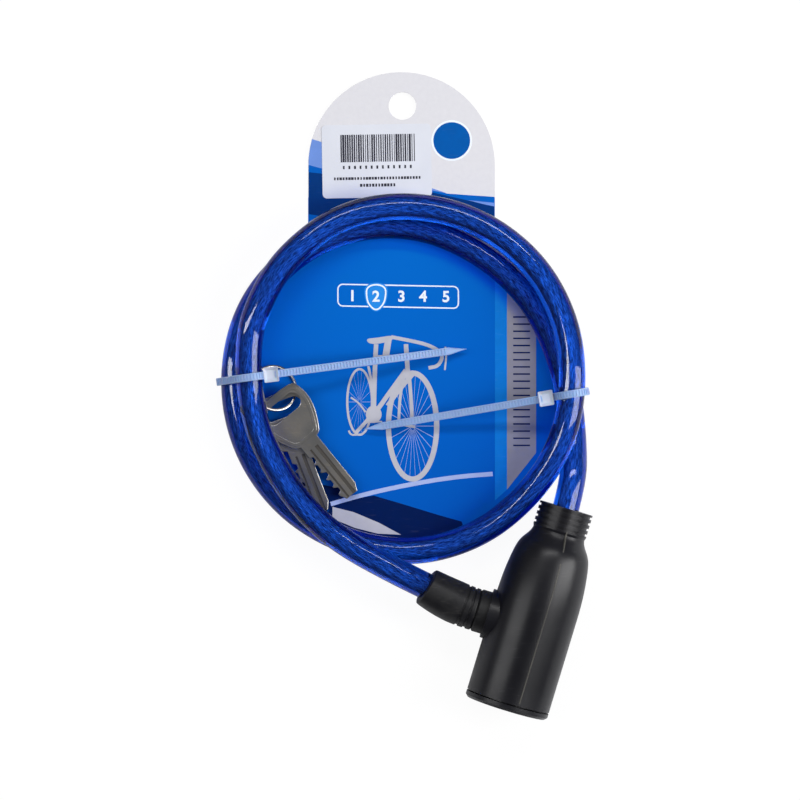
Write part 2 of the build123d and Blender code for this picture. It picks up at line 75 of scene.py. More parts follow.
def linked(name, data):
    """A new object of the scene."""
    made = bpy.data.objects.new(name, data)
    bpy.context.scene.collection.objects.link(made)
    return made


def as_mesh(holder):
    """An object's shape with its curve settings or modifiers applied; the object goes."""
    ready = holder.evaluated_get(bpy.context.evaluated_depsgraph_get())
    mesh = bpy.data.meshes.new_from_object(ready)
    bpy.data.objects.remove(holder)
    return mesh


# ---- camera and light
VIEW_CENTRE = (-1.98, -8.25)
VIEW_WIDTH = 264.0
CAMERA_HEIGHT = 1200.0
TRUE_SCALE_HEIGHT = 8.0
SENSOR_WIDTH = 36.0
# each lamp's name, place and size in metres, and watts; all of them face the coil
SOFTBOXES = (
    ("softbox_left", (-0.85, 0.12, 0.95), (0.08, 1.0), 4.6),
    ("softbox_right", (0.95, -0.05, 0.72), (0.40, 1.1), 14.5),
    ("softbox_top", (0.05, 0.75, 1.15), (1.1, 0.16), 7.6),
)

camera_data = bpy.data.cameras.new("camera")
camera_data.sensor_width = SENSOR_WIDTH
camera_data.lens = SENSOR_WIDTH * (CAMERA_HEIGHT - TRUE_SCALE_HEIGHT) / VIEW_WIDTH
camera = linked("camera", camera_data)
camera.location = mm(*VIEW_CENTRE, CAMERA_HEIGHT) + FRAME_SHIFT
bpy.context.scene.camera = camera
bpy.context.scene.view_settings.view_transform = "Standard"

for name, spot, size, watts in SOFTBOXES:
    data = bpy.data.lights.new(name, "AREA")
    data.shape = "RECTANGLE"
    data.size, data.size_y = size
    data.energy = watts
    lamp = linked(name, data)
    lamp.location = Vector(spot) + FRAME_SHIFT
    lamp.rotation_euler = (-Vector(spot)).to_track_quat("-Z", "Y").to_euler()


# ---- node helpers
def feed(tree, node, values):
    """Gives a node's sockets plain values or other nodes' outputs."""
    for key, value in values.items():
        if isinstance(value, bpy.types.NodeSocket):
            tree.links.new(value, node.inputs[key])
        else:
            node.inputs[key].default_value = value


def place(tree, kind, inputs=None, **settings):
    """Adds a node and returns its outputs."""
    node = tree.nodes.new(kind)
    for key, value in settings.items():
        setattr(node, key, value)
    feed(tree, node, inputs or {})
    return node.outputs


def maths(tree, operation, first, second=0.5, third=0.0):
    return place(tree, "ShaderNodeMath", {0: first, 1: second, 2: third}, operation=operation)[0]


def blend_colour(tree, share, first, second):
    first, second = ((*c, 1.0) if isinstance(c, tuple) else c for c in (first, second))
    return place(tree, "ShaderNodeMix", {0: share, 6: first, 7: second}, data_type="RGBA")[2]


def blend_value(tree, share, first, second):
    return place(tree, "ShaderNodeMix", {0: share, 2: first, 3: second})[0]


def noise(tree, vector, scale, detail):
    return place(tree, "ShaderNodeTexNoise", {"Vector": vector, "Scale": scale, "Detail": detail})[0]


def remap(tree, value, low, high, to_low=0.0, to_high=1.0):
    return place(tree, "ShaderNodeMapRange", {0: value, 1: low, 2: high, 3: to_low, 4: to_high})[0]


def stretched(tree, vector, scale, turn=(0.0, 0.0, 0.0)):
    return place(tree, "ShaderNodeMapping", {"Vector": vector, "Rotation": turn, "Scale": scale})[0]


def relief(tree, strength, distance, height):
    return place(tree, "ShaderNodeBump", {"Strength": strength, "Distance": distance, "Height": height})[0]


def three(tree, *values):
    """A vector of up to three numbers."""
    return place(tree, "ShaderNodeCombineXYZ", dict(enumerate(values)))[0]


def show_either(tree, output, share, first, second):
    """Ends a tree in one shader or another."""
    mixed = place(tree, "ShaderNodeMixShader", {0: share, 1: first, 2: second})[0]
    feed(tree, tree.nodes[output], {"Surface": mixed})


def new_group(name, kind, sockets_in, sockets_out):
    """A node group with named sockets; returns it, what it is given and its end."""
    tree = bpy.data.node_groups.new(name, kind)
    for way, sockets in (("INPUT", sockets_in), ("OUTPUT", sockets_out)):
        for label, socket_type in sockets.items():
            tree.interface.new_socket(label, in_out=way, socket_type=socket_type)
    return tree, tree.nodes.new("NodeGroupInput").outputs, tree.nodes.new("NodeGroupOutput")


FLOAT, VECTOR, GEOMETRY = "NodeSocketFloat", "NodeSocketVector", "NodeSocketGeometry"
MATERIAL, INTEGER = "NodeSocketMaterial", "NodeSocketInt"


def surface_grain_group():
    """Fine moulded or cast grain with broad mottling over it."""
    tree, given, leave = new_group("surface_grain", "ShaderNodeTree",
                                   {"Vector": VECTOR, "Grain Scale": FLOAT, "Mottle Scale": FLOAT},
                                   {"Mottle": FLOAT, "Height": FLOAT})
    broad = noise(tree, given["Vector"], given["Mottle Scale"], 5.0)
    feed(tree, leave, {"Mottle": remap(tree, broad, 0.36, 0.66),
                       "Height": noise(tree, given["Vector"], given["Grain Scale"], 3.0)})
    return tree


def handling_scuffs_group():
    """Short hairline scratches and pale rubbed dust."""
    tree, given, leave = new_group("handling_scuffs", "ShaderNodeTree",
                                   {"Vector": VECTOR, "Scale": FLOAT, "Amount": FLOAT}, {"Scuffs": FLOAT})
    layers = []
    for turn, stretch in ((0.5, 9.0), (2.1, 7.0)):
        laid = stretched(tree, given["Vector"], (1.0, stretch, 1.0), (0.3, 0.2, turn))
        layers.append(remap(tree, noise(tree, laid, given["Scale"], 4.0), 0.64, 0.72))
    found = maths(tree, "MAXIMUM", *layers)
    feed(tree, leave, {"Scuffs": maths(tree, "MULTIPLY", found, given["Amount"])})
    return tree


GRAIN = surface_grain_group()
SCUFFS = handling_scuffs_group()


def blank_material(name):
    material = bpy.data.materials.new(name)
    material.use_nodes = True
    tree = material.node_tree
    return material, tree, tree.nodes["Principled BSDF"], place(tree, "ShaderNodeTexCoord")


def finish(name, colour, mottled, rough, rough_mottled, metallic=0.0, scuffed=(0.5, 0.5, 0.5), scuffs=0.2,
           grain_scale=900.0, mottle_scale=60.0, bump=0.05, scuff_scale=160.0, **sockets):
    """A material of grain, mottling and scuffs, each with its own scale and strength."""
    material, tree, shader, coordinates = blank_material(name)
    where = coordinates["Object"]
    grain = place(tree, "ShaderNodeGroup", {"Vector": where, "Grain Scale": grain_scale,
        "Mottle Scale": mottle_scale},
                  node_tree=GRAIN)
    marks = place(tree, "ShaderNodeGroup", {"Vector": where, "Scale": scuff_scale, "Amount": scuffs},
                  node_tree=SCUFFS)["Scuffs"]
    body = blend_colour(tree, grain["Mottle"], colour, mottled)
    feed(tree, shader, {
        "Base Color": blend_colour(tree, marks, body, scuffed),
        "Roughness": blend_value(tree, grain["Mottle"], rough, rough_mottled),
        "Normal": relief(tree, bump, 0.0002, maths(tree, "SUBTRACT", grain["Height"], marks)),
        "Metallic": metallic,
    })
    feed(tree, shader, {key.replace("_", " "): value for key, value in sockets.items()})
    return material


# ---- finishes
def clear_blue_cover():
    """Tinted clear vinyl: a glassy skin that lets the lamps reach the rope inside."""
    material, tree, shader, coordinates = blank_material("clear_blue_cover")
    clouds = noise(tree, coordinates["Object"], 130.0, 2.0)
    ripple = noise(tree, stretched(tree, coordinates["UV"], (9.0, 40.0, 1.0)), 1.0, 2.0)
    feed(tree, shader, {
        "Base Color": blend_colour(tree, clouds, (0.004, 0.060, 0.46), (0.007, 0.092, 0.56)),
        "Transmission Weight": 1.0,
        "IOR": 1.37,
        "Roughness": 0.025,
        "Normal": relief(tree, 0.12, 0.0004, ripple),
    })
    shadow = place(tree, "ShaderNodeBsdfTransparent", {"Color": (0.14, 0.32, 0.84, 1)})[0]
    ray = place(tree, "ShaderNodeLightPath")["Is Shadow Ray"]
    show_either(tree, "Material Output", ray, shader.outputs[0], shadow)
    return material


ROPE_STRANDS = 7
ROPE_LAY = 56.0
WIRES_ACROSS = 56
WIRE_LAY = 46.0


def rope_wires():
    """Laid steel wires with painted light: painted highlights along the wire crests and in glinting streaks, painted
    shade in the gaps between strands; V runs along the rope in metres.
    """
    material, tree, shader, coordinates = blank_material("rope_wires")
    around, along, _ = place(tree, "ShaderNodeSeparateXYZ", {0: coordinates["UV"]})

    def ridge(count, lay):
        round_rope = maths(tree, "MULTIPLY", around, float(count))
        turned = maths(tree, "MULTIPLY_ADD", along, -count / (lay * MM), round_rope)
        return maths(tree, "MULTIPLY", maths(tree, "PINGPONG", turned, 0.5), 2.0)

    strand, wire = ridge(ROPE_STRANDS, ROPE_LAY), ridge(WIRES_ACROSS, WIRE_LAY)
    glint_speckles = noise(tree, stretched(tree, coordinates["UV"], (60.0, 420.0, 1.0)), 1.0, 2.0)
    # painted light in the base colour: wire crests lighter, strand gaps darker as painted shade, streaks of painted
    # glints
    lit = maths(tree, "MULTIPLY", remap(tree, wire, 0.25, 0.95, 0.2), remap(tree, strand, 0.0, 0.5, 0.62))
    bright = maths(tree, "MULTIPLY", lit, remap(tree, glint_speckles, 0.40, 0.66, 0.25, 1.9))
    feed(tree, shader, {
        "Base Color": blend_colour(tree, bright, (0.035, 0.045, 0.07), (0.86, 0.88, 0.9)),
        "Metallic": 0.55,
        "Roughness": blend_value(tree, wire, 0.5, 0.3),
        "Normal": relief(tree, 0.8, 0.00012, maths(tree, "SQRT", wire)),
    })
    return material


TAB_WHITE_FROM = 59.0


def printed_card():
    """Varnished blue print on the front, lightened towards the top by a painted reflection, white board at the tab,
    the edges and the back.
    """
    material, tree, shader, coordinates = blank_material("printed_card")
    where = place(tree, "ShaderNodeVectorMath", {0: coordinates["Object"], 1: FRAME_SHIFT}, operation="SUBTRACT")
    height = place(tree, "ShaderNodeSeparateXYZ", {0: where[0]})[1]
    facing = place(tree, "ShaderNodeSeparateXYZ", {0: place(tree, "ShaderNodeNewGeometry")["Normal"]})[2]
    front = maths(tree, "GREATER_THAN", facing, 0.5)
    inked = maths(tree, "MULTIPLY", front, maths(tree, "LESS_THAN", height, TAB_WHITE_FROM * MM))
    # painted reflection: the blue grows lighter towards the top of the card and darker towards the bottom
    painted_glare_share = remap(tree, height, -0.045, 0.045)
    blue = blend_colour(tree, painted_glare_share, (0.0006, 0.090, 0.455), (0.0006, 0.128, 0.53))
    grain = noise(tree, coordinates["Object"], 700.0, 4.0)
    board = blend_colour(tree, grain, (0.62, 0.615, 0.655), (0.68, 0.675, 0.71))
    feed(tree, shader, {
        "Base Color": blend_colour(tree, inked, board, blue),
        "Roughness": blend_value(tree, front, 0.75, 0.34),
        "Normal": relief(tree, 0.06, 0.0002, grain),
        "Specular IOR Level": 0.04,
    })
    return material


def nylon(name, colour, mottled):
    """Milky nylon, a little soft under the surface."""
    return finish(name, colour, mottled, 0.34, 0.44, scuffed=(0.62, 0.68, 0.86), scuffs=0.15, bump=0.04,
                  Subsurface_Weight=0.2, Subsurface_Scale=0.0015, Specular_IOR_Level=0.35)


COVER = clear_blue_cover()
ROPE = rope_wires()
CARD = printed_card()
NYLON = nylon("natural_nylon", (0.24, 0.38, 0.66), (0.30, 0.43, 0.70))
HEAD_NYLON = nylon("thick_nylon", (0.48, 0.54, 0.66), (0.54, 0.59, 0.70))
LABEL_PAPER = finish("label_paper", (0.62, 0.64, 0.71), (0.66, 0.68, 0.75), 0.42, 0.5, grain_scale=2500.0,
                     bump=0.03, scuffs=0.03)
SLEEVE_VINYL = finish("sleeve_vinyl", (0.004, 0.004, 0.006), (0.007, 0.007, 0.010), 0.30, 0.38,
                      scuffed=(0.08, 0.08, 0.09),
                      scuffs=0.10, Specular_IOR_Level=0.28, grain_scale=1600.0, mottle_scale=35.0, bump=0.06)
BOOT_VINYL = finish("boot_vinyl", (0.005, 0.005, 0.007), (0.012, 0.012, 0.013), 0.42, 0.58,
                    scuffed=(0.08, 0.075, 0.07),
                    scuffs=0.25, Specular_IOR_Level=0.28, grain_scale=1300.0, mottle_scale=220.0, bump=0.16)
COLLAR_PLASTIC = finish("collar_plastic", (0.006, 0.006, 0.007), (0.011, 0.011, 0.012), 0.45, 0.58,
                        scuffed=(0.06, 0.06, 0.06), Specular_IOR_Level=0.25)
FLASH_VINYL = finish("flash_vinyl", (0.045, 0.042, 0.034), (0.030, 0.029, 0.026), 0.5, 0.6,
                     scuffed=(0.08, 0.08, 0.07))
CAST_ZINC = finish("cast_zinc", (0.42, 0.43, 0.45), (0.50, 0.51, 0.53), 0.45, 0.6, metallic=0.9, bump=0.12)
TURNED_BRASS = finish("turned_brass", (0.66, 0.48, 0.20), (0.72, 0.55, 0.26), 0.24, 0.36, metallic=1.0,
                      scuffed=(0.5, 0.38, 0.2))
WAFER_BRASS = finish("wafer_brass", (0.68, 0.52, 0.24), (0.62, 0.46, 0.20), 0.3, 0.4, metallic=1.0,
                     scuffed=(0.5, 0.38, 0.2))
SPRING_STEEL = finish("spring_steel", (0.52, 0.52, 0.54), (0.46, 0.46, 0.48), 0.25, 0.34, metallic=1.0)
PLATED_STEEL = finish("plated_steel", (0.62, 0.62, 0.64), (0.56, 0.56, 0.58), 0.2, 0.3, metallic=1.0,
                      scuffed=(0.4, 0.4, 0.4))
RING_NICKEL = finish("ring_nickel", (0.60, 0.58, 0.55), (0.48, 0.45, 0.42), 0.2, 0.32, metallic=1.0,
                     scuffed=(0.3, 0.27, 0.22), scuffs=0.3)
KEY_NICKEL = finish("key_nickel", (0.36, 0.355, 0.35), (0.27, 0.25, 0.225), 0.3, 0.42, metallic=1.0,
                    scuffed=(0.62, 0.52, 0.34), scuffs=0.35, mottle_scale=110.0, scuff_scale=260.0, bump=0.12)
# painted shade: a darker nickel for the groove walls, standing in for the shade inside the blade's grooves
KEY_GROOVE_SHADE = finish("key_groove_painted_shade", (0.16, 0.15, 0.14), (0.10, 0.09, 0.08), 0.4, 0.5, metallic=1.0,
                    scuffed=(0.3, 0.26, 0.2))


def ink(name, colour, rough=0.4):
    low = tuple(c * 0.93 for c in colour)
    return finish(name, colour, low, rough, rough + 0.08, scuffs=0.02, mottle_scale=300.0, bump=0.02,
                  Specular_IOR_Level=0.04)


NAVY_INK = ink("navy_ink", (0.0005, 0.010, 0.075))
TAB_NAVY_INK = ink("tab_navy_ink", (0.001, 0.035, 0.175))
BRIGHT_INK = ink("bright_blue_ink", (0.001, 0.105, 0.47))
COLUMN_INK = ink("light_blue_ink", (0.004, 0.185, 0.62))
PALE_INK = ink("pale_blue_ink", (0.15, 0.27, 0.66))
GREY_INK = ink("light_grey_ink", (0.46, 0.46, 0.52))
ROAD_INK = ink("road_ink", (0.36, 0.44, 0.74))
WHITE_INK = ink("white_ink", (0.80, 0.86, 0.94))
SILVER_INK = ink("silver_ink", (0.27, 0.265, 0.31), 0.32)
GLOW_INK = ink("glow_ink", (0.02, 0.24, 0.72))
BLACK_INK = ink("label_ink", (0.035, 0.035, 0.05))
ROUNDEL_INK = ink("roundel_ink", (0.001, 0.09, 0.37))


# ---- mesh helpers
def shown_mesh(name, mesh, body, replaces=(), crease=38.0):
    """Shades a finished mesh, links it at the origin and lets it ride on its body."""
    mesh.name = name
    mesh.transform(Matrix.Translation(FRAME_SHIFT))
    mesh.polygons.foreach_set("use_smooth", [True] * len(mesh.polygons))
    mesh.set_sharp_from_angle(angle=math.radians(crease))
    piece = linked(name, mesh)
    if body:
        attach(piece, body)
    if replaces:
        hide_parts(*replaces)
    return piece


def plain_mesh(name, points, faces, material):
    mesh = bpy.data.meshes.new(name)
    mesh.from_pydata(points, [], faces)
    mesh.materials.append(material)
    return mesh


def only(mesh, material):
    """Leaves one material on a mesh."""
    mesh.materials.clear()
    mesh.materials.append(material)


def outward(mesh, weld=0.0):
    work = bmesh.new()
    work.from_mesh(mesh)
    if weld:
        bmesh.ops.remove_doubles(work, verts=work.verts, dist=weld)
    bmesh.ops.recalc_face_normals(work, faces=work.faces)
    work.to_mesh(mesh)
    work.free()


def joined(name, meshes):
    """Several meshes of one piece as one mesh; materials keep their order of arrival."""
    work = bmesh.new()
    materials = []
    for mesh in meshes:
        before = len(work.faces)
        work.from_mesh(mesh)
        work.faces.ensure_lookup_table()
        for face in work.faces[before:]:
            material = mesh.materials[face.material_index]
            if material not in materials:
                materials.append(material)
            face.material_index = materials.index(material)
    result = bpy.data.meshes.new(name)
    work.to_mesh(result)
    work.free()
    for material in materials:
        result.materials.append(material)
    return result


def baked(mesh, kind, settings):
    """A mesh with one modifier applied."""
    holder = linked("blank", mesh)
    modifier = holder.modifiers.new(kind.lower(), kind)
    for key, value in settings.items():
        setattr(modifier, key, value)
    return as_mesh(holder)


def swept(name, line, frames, section, material, loop=False):
    """Skins a line with rings: section(distance) gives (side, up) points in metres, and V is the distance."""
    rings, distances, distance = [], [], 0.0
    for index, point in enumerate(line):
        if index:
            distance += (point - line[index - 1]).length
        side, up = frames[index]
        rings.append([point + side * s + up * u for s, u in section(distance)])
        distances.append(distance)
    sides = len(rings[0])
    count = len(rings)
    points = [p for ring in rings for p in ring]
    faces, marks = [], []
    for i in range(count if loop else count - 1):
        following = (i + 1) % count
        far = distances[i + 1] if i + 1 < count else distance + (line[0] - line[-1]).length
        for j in range(sides):
            k = (j + 1) % sides
            faces.append((i * sides + j, i * sides + k, following * sides + k, following * sides + j))
            marks.append(((j / sides, distances[i]), ((j + 1) / sides, distances[i]), ((j + 1) / sides, far),
                          (j / sides, far)))
    if not loop:
        faces.append(tuple(reversed(range(sides))))
        faces.append(tuple(range((count - 1) * sides, count * sides)))
        marks += [[(0.5, 0.0)] * sides, [(0.5, distance)] * sides]
    mesh = bpy.data.meshes.new(name)
    mesh.from_pydata(points, [], faces)
    layer = mesh.uv_layers.new(name="run")
    layer.data.foreach_set("uv", [c for face in marks for corner in face for c in corner])
    mesh.materials.append(material)
    return mesh


def even_steps(line, step):
    """Points at equal steps along a fine line."""
    total = sum((b - a).length for a, b in zip(line, line[1:]))
    count = max(2, round(total / step))
    gap = total / count
    result, walked = [line[0].copy()], 0.0
    for a, b in zip(line, line[1:]):
        run = (b - a).length
        while len(result) < count and walked + run >= gap * len(result):
            result.append(a.lerp(b, (gap * len(result) - walked) / run))
        walked += run
    result.append(line[-1].copy())
    return result


def length_of(line):
    return sum((b - a).length for a, b in zip(line, line[1:]))


def heading(line, index, loop=False):
    """The way that a line runs at one of its points."""
    before = line[index - 1] if loop or index else line[0]
    after = line[(index + 1) % len(line)] if loop or index + 1 < len(line) else line[-1]
    return (after - before).normalized()


def carried_frames(line, up):
    """A (side, up) pair at each point, carried along the line without twist."""
    frames = []
    for index in range(len(line)):
        way = heading(line, index)
        up = (up - way * up.dot(way)).normalized()
        frames.append((up.cross(way), up))
    return frames


def clock(count):
    """(cosine, sine) at equal steps round a circle."""
    turns = [math.tau * i / count for i in range(count)]
    return [(math.cos(turn), math.sin(turn)) for turn in turns]


def in_metres(outline):
    return [(s * MM, u * MM) for s, u in outline]


# ---- barrel and plug places
def turned_way(degrees):
    return Vector((math.cos(math.radians(degrees)), math.sin(math.radians(degrees)), 0.0))


BARREL_TURN = 73.1
SOCKET_FROM_KEYHOLE = 28.0
BOOT_FROM_SOCKET = 19.2
barrel_way = turned_way(BARREL_TURN)
plug_way = Vector((-barrel_way.y, barrel_way.x, 0.0))
keyhole_end = mm(32.8, -109.4, 12.9)
socket_middle = keyhole_end + barrel_way * SOCKET_FROM_KEYHOLE * MM
boot_face = socket_middle + plug_way * BOOT_FROM_SOCKET * MM
boot_mouth = mm(6.6, -69.4, 14.2)
boot_way = (boot_face - boot_mouth).normalized()


def up_the_barrel(distance):
    return keyhole_end + barrel_way * distance * MM


# ---- cable
SHEATH_RADIUS = 4.4
ROPE_RADIUS = 2.25
FERRULE_END = 58.0
NECK_END = 68.6
NECK_EXIT_RUN = 8.0
BOOT_CABLE_DEPTH = 4.5
STRAIGHT_BEFORE_BOOT = 11.5

# angle in degrees, radius and height of each point of the coil
first_turn = [
    (-22, 59.9, 4.95), (-5, 53.9, 5.0), (15, 50.3, 5.0), (37, 48.4, 5.0), (60, 47.8, 5.0),
    (84, 49.7, 5.0), (108, 52.2, 5.0), (132, 54.8, 5.0), (156, 57.2, 5.0), (180, 57.9, 5.1),
    (203, 58.7, 6.7), (226, 59.2, 7.65), (249, 59.25, 5.25), (272, 59.4, 5.5), (294, 58.3, 8.6),
]
second_turn = [
    (315, 56.7, 11.7), (335, 56.3, 14.5), (356, 55.4, 14.4), (378, 55.8, 13.0), (401, 56.4, 11.3),
    (425, 56.5, 11.0), (449, 56.5, 11.9), (472, 56.8, 13.6), (494, 55.2, 14.6), (511, 54.1, 14.3),
    (528, 53.5, 13.3),
]
tail_turn = [(554, 52.3, 12.9), (572, 52.5, 14.3), (589, 54.6, 15.7)]


def on_coil(angle, radius, height):
    return turned_way(angle) * radius * MM + mm(0, 0, height)


coil_points = [on_coil(*p) for p in first_turn + second_turn]
tail_points = [on_coil(*p) for p in tail_turn]
tail_points += [mm(-23.5, -53.3, 15.6), boot_mouth - boot_way * STRAIGHT_BEFORE_BOOT * MM]
tie_split = (coil_points[-1] + tail_points[0]) * 0.5
coil_route = [up_the_barrel(FERRULE_END), up_the_barrel(NECK_END + NECK_EXIT_RUN)] + coil_points + [tie_split]
tail_route = [tie_split] + tail_points + [boot_mouth + boot_way * BOOT_CABLE_DEPTH * MM]


def cable_line(name, points):
    """The smooth line that the route's points steer."""
    curve = bpy.data.curves.new(name, "CURVE")
    curve.dimensions = "3D"
    curve.resolution_u = 24
    spline = curve.splines.new("NURBS")
    spline.points.add(len(points) - 1)
    for steered, point in zip(spline.points, points):
        steered.co = (*point, 1.0)
    spline.order_u = 3
    spline.use_endpoint_u = True
    mesh = as_mesh(linked(name, curve))
    line = [v.co.copy() for v in mesh.vertices]
    bpy.data.meshes.remove(mesh)
    return line


COVER_SIDES = 40
STRAND_POINTS = 6
STRAND_DEPTH = 0.30
ROPE_CLEARANCE = 0.02
COIL_STEP, TAIL_STEP = 1.5, 1.2
COVER_CREASE, ROPE_CREASE = 38.0, 80.0


def round_section(distance):
    return in_metres((x * SHEATH_RADIUS, y * SHEATH_RADIUS) for x, y in clock(COVER_SIDES))


def laid_section(distance):
    """The rope's outline: strands that stand proud and turn once in each lay."""
    sides = ROPE_STRANDS * STRAND_POINTS
    ring = []
    for j, (x, y) in enumerate(clock(sides)):
        phase = ROPE_STRANDS * (j / sides - distance / (ROPE_LAY * MM))
        swell = math.sqrt(abs(math.sin(math.pi * phase)))
        radius = (ROPE_RADIUS - ROPE_CLEARANCE - STRAND_DEPTH * (1.0 - swell)) * MM
        ring.append((x * radius, y * radius))
    return ring


coil_line = even_steps(cable_line("coil_route", coil_route), COIL_STEP * MM)
tail_line = even_steps(cable_line("tail_route", tail_route), TAIL_STEP * MM)


def cable_piece(name, line, section, material, body, node, crease):
    mesh = swept(name, line, carried_frames(line, UPRIGHT), section, material)
    return shown_mesh(name, mesh, body, [node], crease)


cover_coil = cable_piece("cable_cover_coil", coil_line, round_section, COVER, "lock_barrel",
                         "cable_sheath_coil", COVER_CREASE)
cover_tail = cable_piece("cable_cover_tail", tail_line, round_section, COVER, None,
                         "cable_sheath_tail", COVER_CREASE)
cable_piece("wire_rope_coil_laid", coil_line, laid_section, ROPE, "lock_barrel",
            "wire_rope_coil", ROPE_CREASE)
rope_tail = cable_piece("wire_rope_tail_laid", tail_line, laid_section, ROPE, None,
                        "wire_rope_tail", ROPE_CREASE)
for piece in (cover_tail, rope_tail):
    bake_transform(piece)


# ---- boot on the plug
def quadratic(a, b, c, count):
    return [a.lerp(b, t).lerp(b.lerp(c, t), t) for t in (i / count for i in range(count + 1))]


BOOT_LIP = 0.5
BOOT_PROFILE = [
    (0.0, 6.5), (0.35, 6.95), (1.6, 7.0), (1.75, 6.55), (2.35, 6.55), (2.5, 7.0), (3.9, 7.02), (4.05, 6.6),
    (4.65, 6.6), (4.8, 7.05), (7.5, 7.1), (11.0, 6.95), (14.5, 6.7), (16.6, 6.5), (17.3, 6.35), (17.6, 5.9),
]


def profile_radius(distance, profile):
    for (d0, r0), (d1, r1) in zip(profile, profile[1:]):
        if distance <= d1:
            return r0 + (r1 - r0) * max(0.0, distance - d0) / (d1 - d0)
    return profile[-1][1]


BOOT_BEND = 0.45
BOOT_STEP = 0.15
CURVE_STEPS = 60
BOOT_SIDES = 72
BOOT_CREASE = 50.0
BOOT_SEAM_RISE, BOOT_SEAM_TURN, BOOT_SEAM_WIDTH = 0.09, 1.15, 0.035


def plug_boot():
    """A soft tapering boot, a little bent, with two grip grooves by the collar."""
    bend = boot_face + plug_way * (boot_mouth - boot_face).dot(plug_way) * BOOT_BEND
    start = boot_face - plug_way * BOOT_LIP * MM
    line = even_steps(quadratic(start, bend, boot_mouth, CURVE_STEPS), BOOT_STEP * MM)
    stretch = BOOT_PROFILE[-1][0] / (length_of(line) / MM)

    def section(distance):
        radius = profile_radius(distance / MM * stretch, BOOT_PROFILE)
        ring = []
        for j, (x, y) in enumerate(clock(BOOT_SIDES)):
            off_seam = math.tau * j / BOOT_SIDES - BOOT_SEAM_TURN
            seam = BOOT_SEAM_RISE * math.exp(-(off_seam / BOOT_SEAM_WIDTH) ** 2)
            ring.append((x * (radius + seam) * MM, y * (radius + seam) * MM))
        return ring

    return swept("boot", line, carried_frames(line, UPRIGHT), section, BOOT_VINYL)


shown_mesh("soft_plug_boot", plug_boot(), "plug", ["plug_boot"], crease=BOOT_CREASE)

PARTING_LEAN = 13.0
PARTING_STEP = 0.6
# distance along the barrel and height off its axis
PARTING_RUN = [(3.4, 13.98), (34.0, 13.98), (40.0, 13.85), (44.0, 13.58), (49.6, 12.88), (55.2, 11.28), (59.6, 8.9),
               (60.9, 8.98), (61.3, 8.98)]
PARTING_SECTION = [(-0.34, -0.12), (0.34, -0.12), (0.15, 0.15), (-0.15, 0.15)]


def barrel_parting_line():
    """The thin raised line that the mould leaves along the sleeve, a little off its crown."""
    lean = math.radians(PARTING_LEAN)
    outwards = UPRIGHT * math.cos(lean) - plug_way * math.sin(lean)
    run = [keyhole_end + (barrel_way * h + outwards * r) * MM for h, r in PARTING_RUN]
    line = even_steps(run, PARTING_STEP * MM)
    return swept("parting", line, carried_frames(line, outwards), lambda distance: in_metres(PARTING_SECTION),
                 FLASH_VINYL)


shown_mesh("sleeve_parting_line", barrel_parting_line(), "lock_barrel")

# ---- cable ties
STRAP_THICKNESS = 1.0
STRAP_WIDTH = 2.5
STRAND_GAP = 0.5
CARD_RADIUS = 54.6
CARD_MIDDLE = (-1.0, -1.0)
HEAD_SIZE = (4.8, 5.0, 4.4)
HEAD_HEIGHT = 14.2
TAIL_TIP_HEIGHT = 2.4
LOOP_CORNER = 0.3
SLOT_LENGTH = 2.2
LOOP_SINK = 0.05
STRAP_EDGE = 0.22
CHANNEL_RIM, CHANNEL_FOOT, CHANNEL_DEPTH = 0.36, 0.42, 0.3
HEAD_WINDOW_RIM, HEAD_WINDOW_DEPTH, HEAD_ROUNDING = 1.3, 1.6, 0.35
LOOP_STEP, LOOP_DOTS = 0.45, 72
TAIL_LIFT, TAIL_INSIDE_HEAD, TAIL_STEP_ALONG = 0.5, 1.0, 0.5
TIP_NARROWEST, TIP_THINNEST = 0.1, 0.55
TAIL_SAG_AT, TAIL_SAG_HEIGHT = 0.45, 0.52
TAIL_POINT_LENGTH = 6.0
TAIL_STEPS_WITHOUT_RIBS = 14
RIB_SIZES = {"Pitch": 1.05 * MM, "Rib Length": 0.45 * MM, "Rib Width": (STRAP_WIDTH - 0.7) * MM,
             "Rib Height": 0.46 * MM, "Material": NYLON}
RIB_MIDDLE = STRAP_THICKNESS / 2 - 0.24


def pattern_tree(name, sockets, lay_out):
    """Geometry Nodes for equal bars: lay_out gives the points, a bar's size and how each bar lies."""
    tree, given, leave = new_group(name, "GeometryNodeTree",
                                   {"Geometry": GEOMETRY, **sockets, "Material": MATERIAL},
                                   {"Geometry": GEOMETRY})
    points, size, lie = lay_out(tree, given)
    bar = place(tree, "GeometryNodeMeshCube", {"Size": three(tree, *size)})[0]
    bars = place(tree, "GeometryNodeInstanceOnPoints", {"Points": points, "Instance": bar, **lie})[0]
    real = place(tree, "GeometryNodeRealizeInstances", {"Geometry": bars})[0]
    coloured = place(tree, "GeometryNodeSetMaterial", {"Geometry": real, "Material": given["Material"]})[0]
    feed(tree, leave, {"Geometry": coloured})
    return tree


def along_a_strap(tree, given):
    """Cross ribs at a pitch along a path that lies in the XZ plane."""
    curve = place(tree, "GeometryNodeMeshToCurve", {"Mesh": given["Geometry"]})[0]
    spaced = place(tree, "GeometryNodeCurveToPoints", {"Curve": curve, "Length": given["Pitch"]}, mode="LENGTH")
    turn = place(tree, "FunctionNodeAlignRotationToVector", {"Vector": spaced["Tangent"]}, axis="X", pivot_axis="Y")
    return spaced[0], (given["Rib Length"], given["Rib Width"], given["Rib Height"]), {"Rotation": turn[0]}


STRAP_RIBS = pattern_tree("strap_ribs", dict.fromkeys(("Pitch", "Rib Length", "Rib Width", "Rib Height"), FLOAT),
                          along_a_strap)


